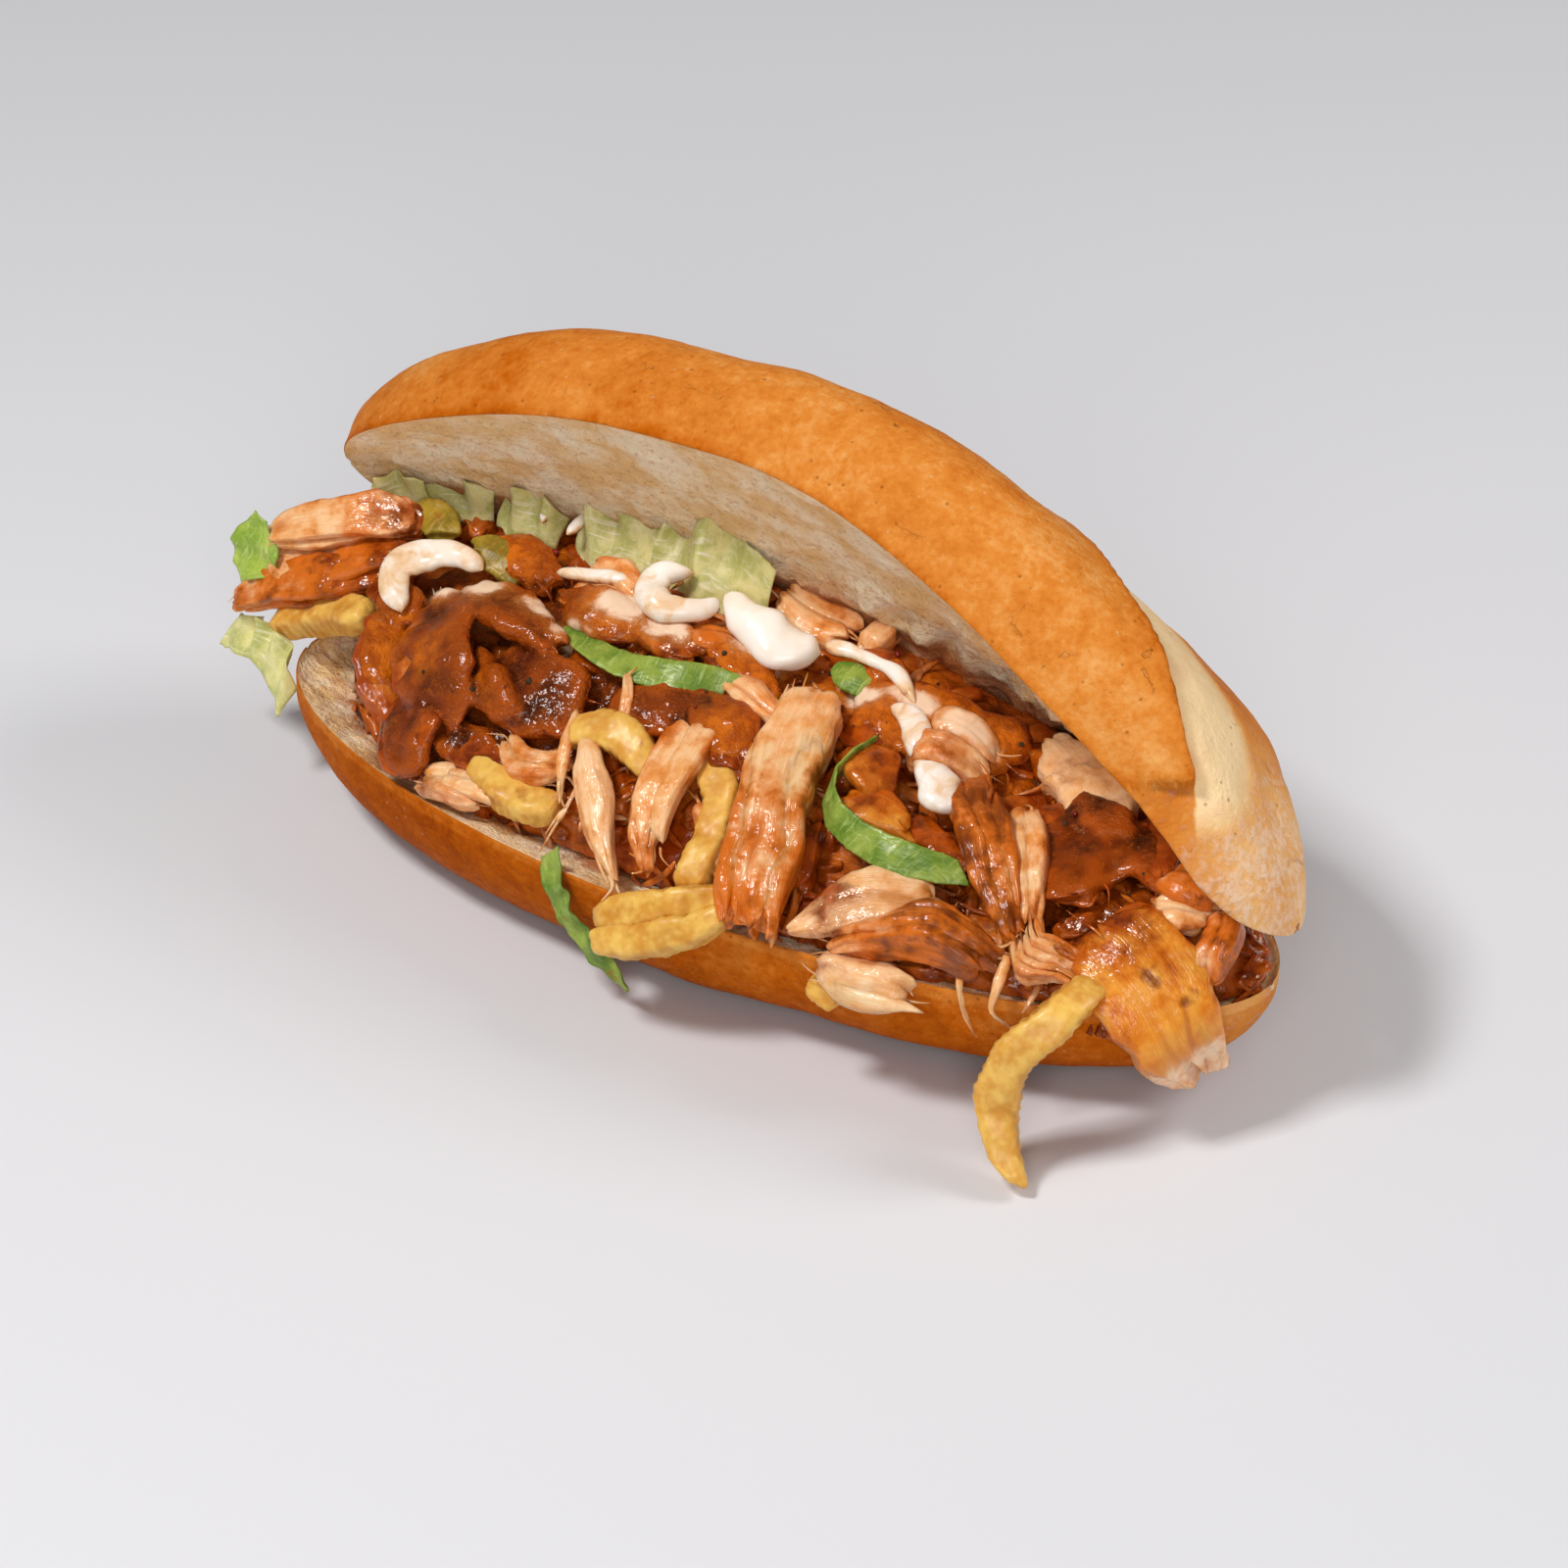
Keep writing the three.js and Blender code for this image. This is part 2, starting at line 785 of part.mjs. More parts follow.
    thick: [6, 10, 7],
    seed: 23,
  },
  {
    name: "chicken_sauced_low",
    kind: "glazed",
    route: [on(-100, 0.14, 2), on(-88, 0.11, 4), on(-76, 0.06, 3)],
    wide: [10, 19, 13],
    thick: [6, 9, 7],
    seed: 24,
  },
  {
    name: "chicken_sauced_right",
    kind: "glazed",
    route: [on(-36, 0.42, 1), on(-24, 0.42, 4), on(-2, 0.5, 3), on(6, 0.5, 1)],
    wide: [11, 15, 15, 8],
    thick: [6, 8, 8, 5],
    seed: 25,
  },
  {
    name: "chicken_curled",
    kind: "chicken",
    route: [on(-62, 0.22, 3), on(-55, 0.13, 4), on(-46, 0.14, 4), on(-41, 0.2, 3)],
    wide: [6, 9, 9, 6],
    thick: [5, 7, 7, 5],
    seed: 26,
  },
  {
    name: "chicken_rim_left",
    kind: "chicken",
    route: [on(-80, 0, 2), on(-71, 0.02, 3), on(-63, 0.04, 1)],
    wide: [6, 10, 7],
    thick: [5, 7, 5],
    seed: 27,
  },
  {
    name: "chicken_upper_left",
    kind: "glazed",
    route: [on(-66, 0.68, 2), on(-54, 0.66, 4), on(-43, 0.65, 2)],
    wide: [10, 13, 8],
    thick: [5, 7, 5],
    seed: 28,
  },
  {
    name: "chicken_upper_middle",
    kind: "glazed",
    route: [on(-57, 0.8, 1.5), on(-45, 0.74, 1), on(-32, 0.66, 2), on(-22, 0.66, 2)],
    wide: [9, 13, 10, 8],
    thick: [4, 5, 5, 4],
    seed: 29,
  },
  // peppers
  {
    name: "pepper_left",
    kind: "pepper",
    route: [on(-121, 0.86, 3), on(-112, 0.85, 4), on(-105, 0.74, 3)],
    wide: [8, 12, 10],
    thick: [4, 5, 4],
    seed: 1,
  },
  {
    name: "pepper_right",
    kind: "pepper",
    route: [on(-100, 0.74, 4), on(-92, 0.78, 4), on(-82, 0.72, 2)],
    wide: [10, 12, 9],
    thick: [4, 5, 4],
    seed: 2,
  },
  // the stack that reaches out of the left end
  {
    name: "chicken_end_upper",
    kind: "chicken",
    route: [at(-155, 3, 63, [0, -0.7, 1]), at(-135, 9, 70, [0, -0.7, 1]), at(-115, 15, 73, [0, -0.7, 1])],
    wide: [10, 15, 13],
    thick: [6, 9, 7],
    seed: 30,
  },
  {
    name: "chicken_end_lower",
    kind: "chicken",
    route: [
      at(-163, -3, 43, [0, -0.8, 1]),
      at(-148, 0, 51, [0, -0.8, 1]),
      at(-131, 3, 57, [0, -0.8, 1]),
      at(-114, 7, 62, [0, -0.8, 1]),
    ],
    wide: [9, 14, 15, 11],
    thick: [6, 8, 9, 7],
    seed: 31,
  },
  {
    name: "green_frill",
    kind: "frill",
    route: [at(-156, 4, 66, [0, -1, 0.2]), at(-158, 1, 58, [0, -1, 0.2]), at(-160, 0, 47, [0, -1, 0.2])],
    wide: [6, 14, 8],
    thick: 2,
    uneven: 0.15,
    seed: 3,
  },
  {
    name: "lettuce_end",
    kind: "lettuce",
    route: [
      at(-167, -3, 31, [0, -0.7, 1]),
      at(-156, -5, 35, [0, -0.7, 1]),
      at(-146, -10, 33, [-0.5, -0.8, 0.5]),
      at(-142, -14, 23, [-0.7, -0.8, 0]),
    ],
    wide: [8, 13, 13, 7],
    thick: 2,
    uneven: 0.12,
    seed: 4,
  },
  // pale lettuce along the lid's cut face
  ...[
    { x: -127, length: 16, share: 1, wide: 10 },
    { x: -112, length: 22, share: 1.03, wide: 15 },
    { x: -90, length: 20, share: 0.97, wide: 13 },
    { x: -65, length: 26, share: 0.97, wide: 15 },
    { x: -34, length: 34, share: 0.94, wide: 17 },
  ].map(({ x, length, share, wide }, i) => ({
    name: `lettuce_${i + 1}`,
    kind: "lettuce",
    route: [on(x - length / 2, share, 3), on(x, share - 0.02, 5), on(x + length / 2, share - 0.04, 3)],
    wide: [wide * 0.7, wide, wide * 0.8],
    thick: 3,
    turn: 25,
    steps: 6,
    uneven: 0.12,
    blunt: 0.7,
    seed: i,
  })),
];

const material = (color, roughness) => new THREE.MeshStandardMaterial({ color, roughness, metalness: 0 });

const MATERIALS = {
  chicken: material(0xcf9a66, 0.5),
  glazed: material(0x9a4a1c, 0.35),
  chip: material(0xe0bd55, 0.5),
  greens: material(0x6f9a48, 0.4),
  frill: material(0x9fbf3f, 0.4),
  lettuce: material(0xcdd3a0, 0.4),
  mayo: material(0xefe6dd, 0.3),
  pepper: material(0xa3902f, 0.35),
};

// ---------------------------------------------------------------- the assembly

const sandwich = new THREE.Group();
sandwich.name = "chicken_sandwich";

function addPiece(name, geometry, material) {
  const mesh = new THREE.Mesh(geometry, material);
  mesh.name = name;
  sandwich.add(mesh);
  return mesh;
}

const crust = new THREE.MeshStandardMaterial({ color: 0xc9772f, roughness: 0.6, metalness: 0 });

/** The largest of the bodies that cutting has left, without the slivers of its facets. */
function largest(solid) {
  return solid.simplify(GAP / 3).decompose().sort((a, b) => b.volume() - a.volume())[0];
}

addPiece("roll", geometryOf(largest(makeRoll())), crust);
let taken = makeRoll(GAP);
for (const piece of PIECES) {
  const body = largest(solidOf(strip(piece)).subtract(taken));
  addPiece(piece.name, geometryOf(body), MATERIALS[piece.kind]);
  taken = taken.add(solidOf(strip(piece, GAP)));
}
addPiece("filling", geometryOf(largest(solidOf(makeHeap()).subtract(taken))), MATERIALS.chicken);

const bounds = new THREE.Box3().setFromObject(sandwich);
const centre = bounds.getCenter(new THREE.Vector3());
sandwich.position.set(-centre.x, -centre.y, -bounds.min.z);

export default sandwich;
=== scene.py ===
"""A hot chicken sandwich: a crusty roll opened like a book, heaped with torn chicken in brown sauce, chips,
cut leaves and garlic mayonnaise. The bread is shaped in numbers; many pieces of filling grow from their CAD
nodes, and the rest are laid along the slope. Shapes are worked out in millimetres in the row frame and turned
to metres when a mesh is made."""
import json
import math
from collections import namedtuple

import bmesh
import bpy
import numpy as np
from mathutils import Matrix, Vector

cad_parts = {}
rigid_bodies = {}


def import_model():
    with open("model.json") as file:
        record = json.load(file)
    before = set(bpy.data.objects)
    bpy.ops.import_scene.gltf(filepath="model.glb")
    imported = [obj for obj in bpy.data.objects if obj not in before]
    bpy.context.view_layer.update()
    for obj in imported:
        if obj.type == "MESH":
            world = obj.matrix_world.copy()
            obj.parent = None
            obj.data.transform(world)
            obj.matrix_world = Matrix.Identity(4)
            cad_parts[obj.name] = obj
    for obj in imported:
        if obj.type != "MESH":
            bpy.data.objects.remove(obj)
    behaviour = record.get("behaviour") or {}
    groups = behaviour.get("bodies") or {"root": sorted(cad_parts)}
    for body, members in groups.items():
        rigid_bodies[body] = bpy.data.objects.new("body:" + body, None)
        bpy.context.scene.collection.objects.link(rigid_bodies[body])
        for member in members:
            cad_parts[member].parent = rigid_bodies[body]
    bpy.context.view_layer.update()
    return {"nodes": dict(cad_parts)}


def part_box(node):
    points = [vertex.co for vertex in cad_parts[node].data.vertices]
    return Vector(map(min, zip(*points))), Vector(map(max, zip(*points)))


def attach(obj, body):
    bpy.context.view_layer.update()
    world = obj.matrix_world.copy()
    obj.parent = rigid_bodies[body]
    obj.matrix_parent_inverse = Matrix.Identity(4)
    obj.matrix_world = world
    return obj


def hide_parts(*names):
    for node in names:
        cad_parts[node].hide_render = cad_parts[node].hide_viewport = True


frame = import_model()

MM = 0.001

# ---------------------------------------------------------------- sizes, in millimetres

# plan and power are how square a half is, from above and in section. The base's crust would reach sink below
# the floor, and is pressed flat there. The lid stands forward of the hinge.
BASE = {"from": -142.0, "to": 141.0, "width": 109.0, "plan": 1.9, "height": 34.0, "power": 2.7, "sink": 3.0}
LID = {"from": -140.5, "to": 147.0, "width": 110.0, "plan": 1.95, "height": 39.0, "power": 3.7, "forward": 3}
HINGE = {"y": 47.0, "z": 38.0}
OPENING = ((0, 57), (0.25, 64), (0.5, 63), (0.68, 54), (0.86, 40), (0.94, 30), (1, 10))  # share, degrees
BEND = {"from": 20.0, "to": 147.0, "by": 6.0}
BED_DEPTH = 10.0  # how far the filling has pressed the base's crumb down
LID_HOLLOW = 5.0
# The baker's cut on the lid is two planes: past both of them lies the nose, and short of either the flap.
SCORE_BEHIND = {"point": (114.0, -8.0, 104.0), "facing": (0.51, 0.75, -0.24)}
SCORE_BELOW = {"point": (118.0, -20.0, 92.0), "facing": (0.38, -0.53, -0.76)}
FLAP_STEP = 1.5
NOSE_STEP = 1.0
WEB = {"reach": 82.0, "deep": 7.0, "high": 9.0, "z": 36.0, "inside": 7.0}
# The slope of the filling, from the base's rim to the lid's crumb: x, y, z in the roll's own frame.
SLOPE_FOOT = ((-139, 8, 35), (-114, -22, 35), (-86, -41, 36), (-40, -44, 37), (20, -52, 37), (83, -48, 37),
              (125, -36, 37), (139, -8, 37))
SLOPE_TOP = ((-139, 24, 66), (-118, 30, 73), (-77, 35, 71), (-37, 32, 78), (-5, 36, 69), (27, 34, 67),
             (50, 35, 60), (75, 30, 53), (115, 8, 56), (139, -6, 44))
SLOPE_SWELL = 6.0  # how far the heap bulges between the two

BREAD_PITCH = 1.15  # spacing of the bread's mesh
MEAT_PITCH = 0.5  # across the fibres
LEAF_THICK = 0.6
LEAF_VOXEL = 0.5
SAUCE_VOXEL = 1.02
HEAP_VOXEL = 0.86

ROLL_LOW = np.array(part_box("roll")[0]) / MM
# The bread's own middle, where its sizes are counted from, in the row frame.
MIDDLE = np.array([ROLL_LOW[0] - BASE["from"], ROLL_LOW[1] + BASE["width"] / 2, 0.0])


# ---------------------------------------------------------------- numbers


def smoothstep(low, high, value):
    """Eases from 0 at low to 1 at high."""
    share = np.clip((value - low) / (high - low), 0.0, 1.0)
    return share * share * (3 - 2 * share)


def lattice(ix, iy, iz, seed):
    """A fixed random number from -1 to 1 for each whole-number place."""
    n = (ix * 374761393 + iy * 668265263 + iz * 2147483647 + seed * 1274126177) & 0xFFFFFFFF
    n = ((n ^ (n >> 13)) * 1274126177) & 0xFFFFFFFF
    n = ((n ^ (n >> 16)) * 2246822519) & 0xFFFFFFFF
    return ((n ^ (n >> 15)) & 0xFFFF) / 32767.5 - 1


def lumps(points, size, seed=0):
    """Smooth noise from -1 to 1 over points, with lumps about `size` millimetres across."""
    scaled = np.asarray(points, float) / size
    whole = np.floor(scaled).astype(np.int64)
    part = scaled - whole
    part = part * part * (3 - 2 * part)
    total = np.zeros(len(scaled))
    for cx in (0, 1):
        for cy in (0, 1):
            for cz in (0, 1):
                weight = (
                    (part[:, 0] if cx else 1 - part[:, 0])
                    * (part[:, 1] if cy else 1 - part[:, 1])
                    * (part[:, 2] if cz else 1 - part[:, 2])
                )
                total += weight * lattice(whole[:, 0] + cx, whole[:, 1] + cy, whole[:, 2] + cz, seed)
    return total


def layered(points, size, octaves=3, seed=0):
    """Several sizes of lumps added up, each half the size and height of the one before."""
    total = np.zeros(len(points))
    for octave in range(octaves):
        total += lumps(points, size / 2**octave, seed + 17 * octave) / 2**octave
    return total / (2 - 2 / 2**octaves)


def nearest_dot(u, v, seed, period):
    """Distance to the nearest of uneven dots one unit apart, on a strip that repeats after `period`."""
    whole_u, whole_v = np.floor(u).astype(np.int64), np.floor(v).astype(np.int64)
    nearest = np.full(len(u), 9.0)
    for du in (-1, 0, 1):
        for dv in (-1, 0, 1):
            row, column = whole_u + du, whole_v + dv
            dot_u = row + 0.5 + 0.45 * lattice(row % period, column, 0, seed)
            dot_v = column + 0.5 + 0.45 * lattice(row % period, column, 0, seed + 1)
            nearest = np.minimum(nearest, np.hypot(u - dot_u, v - dot_v))
    return nearest


def unit(vectors):
    vectors = np.asarray(vectors, float)
    return vectors / np.maximum(np.linalg.norm(vectors, axis=-1, keepdims=True), 1e-9)


def spread(values, share):
    """A value that runs along a piece: one number, or several spread evenly from its start to its end."""
    values = np.atleast_1d(values).astype(float)
    if len(values) == 1:
        return values[0] + 0 * share
    return np.interp(share, np.linspace(0, 1, len(values)), values)


# ---------------------------------------------------------------- meshes


def link(obj):
    bpy.context.scene.collection.objects.link(obj)
    return obj


def mesh_object(name, points, faces, materials=(), face_slots=None):
    """An object at the origin from points in millimetres."""
    mesh = bpy.data.meshes.new(name)
    mesh.from_pydata((np.asarray(points) * MM).tolist(), [], [tuple(f) for f in faces])
    for material in materials:
        mesh.materials.append(material)
    if face_slots is not None:
        mesh.polygons.foreach_set("material_index", np.asarray(face_slots, np.int32))
    mesh.polygons.foreach_set("use_smooth", np.ones(len(mesh.polygons), bool))
    mesh.update()
    return link(bpy.data.objects.new(name, mesh))


def points_of(obj):
    """A mesh's vertices, in millimetres."""
    co = np.empty(len(obj.data.vertices) * 3, np.float32)
    obj.data.vertices.foreach_get("co", co)
    return co.reshape(-1, 3).astype(float) / MM


def normals_of(obj):
    normals = np.empty(len(obj.data.vertices) * 3, np.float32)
    obj.data.vertex_normals.foreach_get("vector", normals)
    return normals.reshape(-1, 3).astype(float)


def move_points(obj, points):
    obj.data.vertices.foreach_set("co", (np.asarray(points) * MM).astype(np.float32).ravel())
    obj.data.update()


def set_values(obj, name, values):
    """Stores one number, or one vector, for each vertex, for materials to read."""
    values = np.asarray(values, np.float32)
    if values.ndim == 1:
        obj.data.attributes.new(name, "FLOAT", "POINT").data.foreach_set("value", values)
    else:
        obj.data.attributes.new(name, "FLOAT_VECTOR", "POINT").data.foreach_set("vector", values.ravel())


def applied(obj):
    """Turns the object's modifiers into plain mesh."""
    bpy.context.view_layer.update()
    evaluated = obj.evaluated_get(bpy.context.evaluated_depsgraph_get())
    mesh = bpy.data.meshes.new_from_object(evaluated)
    obj.modifiers.clear()
    old = obj.data
    obj.data = mesh
    if old.users == 0:
        bpy.data.meshes.remove(old)
    return obj


def remeshed(obj, voxel):
    """One closed skin over everything in the object, with faces about `voxel` millimetres across."""
    modifier = obj.modifiers.new("skin", "REMESH")
    modifier.mode = "VOXEL"
    modifier.voxel_size = voxel * MM
    modifier.use_smooth_shade = True
    return applied(obj)


def averaged(obj, points, steps):
    """Points moved halfway to the middle of their neighbours, some number of times."""
    edges = np.empty(len(obj.data.edges) * 2, np.int32)
    obj.data.edges.foreach_get("vertices", edges)
    edges = edges.reshape(-1, 2)
    points = points.copy()
    counts = np.maximum(np.bincount(edges.ravel(), minlength=len(points)), 1).astype(float)
    for _ in range(steps):
        for axis in range(points.shape[1]):
            total = np.bincount(edges[:, 0], points[edges[:, 1], axis], len(points))
            total += np.bincount(edges[:, 1], points[edges[:, 0], axis], len(points))
            points[:, axis] += 0.5 * (total / counts - points[:, axis])
    return points


def relaxed(obj, steps):
    move_points(obj, averaged(obj, points_of(obj), steps))


def node_copy(name, node):
    """A new mesh of a CAD node, with its corners merged."""
    merged = bmesh.new()
    merged.from_mesh(frame["nodes"][node].data)
    bmesh.ops.remove_doubles(merged, verts=merged.verts, dist=0.02 * MM)
    mesh = bpy.data.meshes.new(name)
    merged.to_mesh(mesh)
    merged.free()
    return link(bpy.data.objects.new(name, mesh))


def loft_faces(rows, around, tips=True):
    """Faces over rings of points, one ring after the other and each closed on itself. With tips, two points
    after the rings close the first and the last of them."""
    i = np.arange(rows - 1)[:, None] * around
    j = np.arange(around)[None, :]
    k = (j + 1) % around
    faces = np.stack([i + j, i + k, i + around + k, i + around + j], -1).reshape(-1, 4).tolist()
    last, tip = (rows - 1) * around, rows * around
    for j in range(around if tips else 0):
        k = (j + 1) % around
        faces += [(k, j, tip), (last + j, last + k, tip + 1)]
    return faces


def give(obj, material):
    """One material over the whole piece, shaded smooth."""
    obj.data.materials.clear()
    obj.data.materials.append(material)
    obj.data.polygons.foreach_set("material_index", np.zeros(len(obj.data.polygons), np.int32))
    obj.data.polygons.foreach_set("use_smooth", np.ones(len(obj.data.polygons), bool))
    obj.data.update()


def discard(obj):
    mesh = obj.data
    bpy.data.objects.remove(obj)
    bpy.data.meshes.remove(mesh)


def finished(obj, node=None):
    """The piece rides with the sandwich, and stands for its CAD node where it has one."""
    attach(obj, "root")
    if node in frame["nodes"]:
        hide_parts(node)
    return obj


# ---------------------------------------------------------------- materials

SMOOTH = {"interpolation_type": "SMOOTHSTEP"}


def linear(code):
    """An sRGB hex colour as linear red, green, blue and alpha."""
    parts = [int(code[i : i + 2], 16) / 255 for i in (1, 3, 5)]
    return tuple(p / 12.92 if p <= 0.04045 else ((p + 0.055) / 1.055) ** 2.4 for p in parts) + (1.0,)


def add_node(tree, kind, settings=None, out=0, **inputs):
    """Adds a node, sets its properties and inputs, and gives one of its outputs. An input goes by its name,
    or by its number as i0 or i1. A socket is linked to it, a hex colour is turned to linear, and any other
    word reads that attribute of the piece."""
    node = tree.nodes.new(kind)
    for key, value in (settings or {}).items():
        setattr(node, key, value)
    for key, value in inputs.items():
        numbered = key[0] == "i" and key[1:].isdigit()
        socket = node.inputs[int(key[1:])] if numbered else node.inputs[key.replace("_", " ")]
        if isinstance(value, str) and value[0] == "#":
            value = linear(value)
        elif isinstance(value, str):
            value = add_node(tree, "ShaderNodeAttribute", {"attribute_name": value}, "Fac")
        if isinstance(value, bpy.types.NodeSocket):
            tree.links.new(value, socket)
        else:
            socket.default_value = value
    return node.outputs[out]


def new_material(name):
    material = bpy.data.materials.new(name)
    material.use_nodes = True
    material.node_tree.nodes.clear()
    return material, material.node_tree


def surfaced(material, **inputs):
    """The material, with its surface and output added."""
    tree = material.node_tree
    surface = add_node(tree, "ShaderNodeBsdfPrincipled", **inputs)
    tree.links.new(surface, tree.nodes.new("ShaderNodeOutputMaterial").inputs["Surface"])
    return material


def coords(tree, size_mm, stretch=(1, 1, 1), attribute=None):
    """Object coordinates, or an attribute in millimetres, so that one unit is size_mm."""
    if attribute:
        source = add_node(tree, "ShaderNodeAttribute", {"attribute_name": attribute}, "Vector")
        scale = 1 / size_mm
    else:
        source = add_node(tree, "ShaderNodeTexCoord", out="Object")
        scale = 1 / (size_mm * MM)
    return add_node(tree, "ShaderNodeMapping", Vector=source, Scale=[scale / s for s in stretch])


def pattern(tree, size_mm, detail=2.0, roughness=0.5, distortion=0.0, stretch=(1, 1, 1), attribute=None):
    """An uneven pattern of a real size, which averages a half."""
    place = coords(tree, size_mm, stretch, attribute)
    return add_node(tree, "ShaderNodeTexNoise", Vector=place, Scale=1.0, Detail=detail, Roughness=roughness,
                    Distortion=distortion)


def weighted(tree, *parts, start=0.0):
    """Several values added up, each times its weight."""
    total = start
    for part, weight in parts:
        total = add_node(tree, "ShaderNodeMath", {"operation": "MULTIPLY_ADD"}, i0=part, i1=weight, i2=total)
    return total


def broken(tree, mask, uneven, by, low, high):
    """A mask with its edge broken up by an uneven pattern, and eased from `low` to `high`."""
    rough = weighted(tree, (mask, 1.0), (uneven, by), start=-by / 2)
    return add_node(tree, "ShaderNodeMapRange", SMOOTH, Value=rough, From_Min=low, From_Max=high)


def painted(tree, under, over, mask, most=1.0, between=None):
    """One colour over another: `most` of it where the mask is 1, or eased between two levels of the mask."""
    low, high = between or (0.0, 1.0)
    share = add_node(tree, "ShaderNodeMapRange", SMOOTH if between else None, Value=mask, From_Min=low,
                     From_Max=high, To_Max=most)
    return add_node(tree, "ShaderNodeMix", {"data_type": "RGBA"}, 2, i0=share, i6=under, i7=over)


def smeared(tree, colour, tinge, white):
    """Mayonnaise smeared over a colour: where it lies, and the colour with it."""
    cream = broken(tree, "cream", pattern(tree, 7, 4, 0.6, 0.6), 1.1, 0.25, 1.05)
    return cream, painted(tree, colour, painted(tree, tinge, white, cream, between=(0.4, 1.2)), cream)


def light_inside(weight, *radius_mm):
    """Light that spreads under the surface: how much of it, and how far its red, green and blue go."""
    radius = [r * MM for r in radius_mm]
    return {"Subsurface_Weight": weight, "Subsurface_Radius": radius, "Subsurface_Scale": 1.0}


def wet_film(specular, coat, roughness):
    """A film of oil and sauce on top, which warms what shows through it and leaves its glints white."""
    return {"Specular_IOR_Level": specular, "Specular_Tint": "#FFD0A0", "Coat_Weight": coat,
            "Coat_Roughness": roughness, "Coat_Tint": "#FFE6C8"}


# How the crust browns, from pale dough to where it caught.
BAKE_STOPS = ((0.0, "#F8D6A2"), (0.22, "#ECAE66"), (0.42, "#D88434"), (0.62, "#BE5E0C"), (0.82, "#984004"),
              (1.0, "#5E2605"))


def baked_crust():
    """Wheat crust baked on a hot stone: thin, matt to silky, golden brown with paler and darker grains.
    The attribute bake runs from pale dough, 0, to dark brown, 1, and on the base it also holds painted shade;
    flour is the dusting left on it."""
    material, tree = new_material("baked_wheat_crust")
    cloud = pattern(tree, 20, 4, 0.6)
    mottle = pattern(tree, 5, 4, 0.65)
    grain = pattern(tree, 1.8, 3, 0.65)
    swings = (cloud, 0.3), (mottle, 0.26), (grain, 0.26)
    level = weighted(tree, ("bake", 1.0), *swings, start=-sum(weight for _, weight in swings) / 2)
    colour = add_node(tree, "ShaderNodeValToRGB", Fac=level)
    elements = colour.node.color_ramp.elements
    for i, (place, code) in enumerate(BAKE_STOPS):
        element = elements[i] if i < 2 else elements.new(place)
        element.position = place
        element.color = linear(code)
    # Tiny blisters: pale where the skin is thin, dark where it caught.
    dots = add_node(tree, "ShaderNodeTexVoronoi", Vector=coords(tree, 3.4), Scale=1.0, Randomness=1.0)
    blister = add_node(tree, "ShaderNodeMapRange", SMOOTH, Value=dots, From_Min=0.2, From_Max=0.04)
    lot = add_node(tree, "ShaderNodeSeparateColor", Color=dots.node.outputs["Color"])
    pale, caught = ("GREATER_THAN", 0.72, "#F2C892", 0.28), ("LESS_THAN", 0.25, "#7E360A", 0.55)
    for operation, level, code, most in (pale, caught):
        drawn = add_node(tree, "ShaderNodeMath", {"operation": operation}, i0=lot, i1=level)
        colour = painted(tree, colour, code, weighted(tree, (blister, drawn)), most)
    # Hairline cracks where the skin stretched.
    veins = add_node(tree, "ShaderNodeTexVoronoi", {"feature": "DISTANCE_TO_EDGE"},
                     Vector=coords(tree, 17, (1.7, 1, 1)), Scale=1.0)
    veins = weighted(tree, (veins, 1.0), (mottle, 0.3))
    hairline = add_node(tree, "ShaderNodeMapRange", SMOOTH, Value=veins, From_Min=0.165, From_Max=0.145)
    stretched = add_node(tree, "ShaderNodeMapRange", SMOOTH, Value=cloud, From_Min=0.54, From_Max=0.62)
    crack = weighted(tree, (hairline, stretched))
    colour = painted(tree, colour, "#A8581C", crack, 0.3)
    # Flour lies on the high spots.
    powder = weighted(tree, (grain, 0.55), (mottle, 0.45))
    dust = weighted(tree, (broken(tree, "flour", powder, 3.0, 0.3, 1.1), "flour"))
    colour = painted(tree, colour, "#FAE6CC", dust, 0.85)
    height = weighted(tree, (grain, 0.7), (mottle, 1.0), (blister, 0.25), (crack, -0.6))
    matt = add_node(tree, "ShaderNodeMapRange", SMOOTH, Value=weighted(tree, (grain, 1.0), (dust, 1.0)),
                    From_Min=0.3, From_Max=1.2, To_Min=0.42, To_Max=0.75)
    bump = add_node(tree, "ShaderNodeBump", Height=height, Distance=0.7 * MM, Strength=0.9)
    return surfaced(material, Base_Color=colour, Roughness=matt, Normal=bump, Specular_IOR_Level=0.01)


def bread_crumb():
    """Soft white wheat crumb, cut and torn: matt, full of pores, warm beige, sauce-stained where it is wet,
    with painted shade in its pores.
    The attribute edge is the distance in millimetres from the crust, and wet is how much sauce it drank."""
    material, tree = new_material("torn_wheat_crumb")
    pores = weighted(tree, (pattern(tree, 2.3, 3, 0.6), 0.65), (pattern(tree, 0.9, 2, 0.6), 0.35))
    colour = painted(tree, "#EFC488", "#FFE9C8", pattern(tree, 13, 4, 0.6), between=(0.35, 0.65))
    # Painted shade: the low places of the pore pattern are darker.
    colour = painted(tree, colour, "#CC9456", pores, 0.5, (0.5, 0.36))
    colour = painted(tree, colour, "#F0C084", "edge", 0.45, (4.0, 0.0))
    colour = painted(tree, colour, "#BE6A20", "edge", between=(0.6, -0.2))
    stain = broken(tree, "wet", pattern(tree, 9, 4, 0.65), 0.9, 0.35, 0.75)
    colour = painted(tree, colour, "#A8561A", stain, 0.85)
    matt = add_node(tree, "ShaderNodeMapRange", SMOOTH, Value=stain, To_Min=0.85, To_Max=0.45)
    bump = add_node(tree, "ShaderNodeBump", Height=pores, Distance=1.9 * MM, Strength=1.0)
    return surfaced(material, Base_Color=colour, Roughness=matt, Normal=bump, Specular_IOR_Level=0.1,
                    **light_inside(0.3, 3, 2, 1.2))


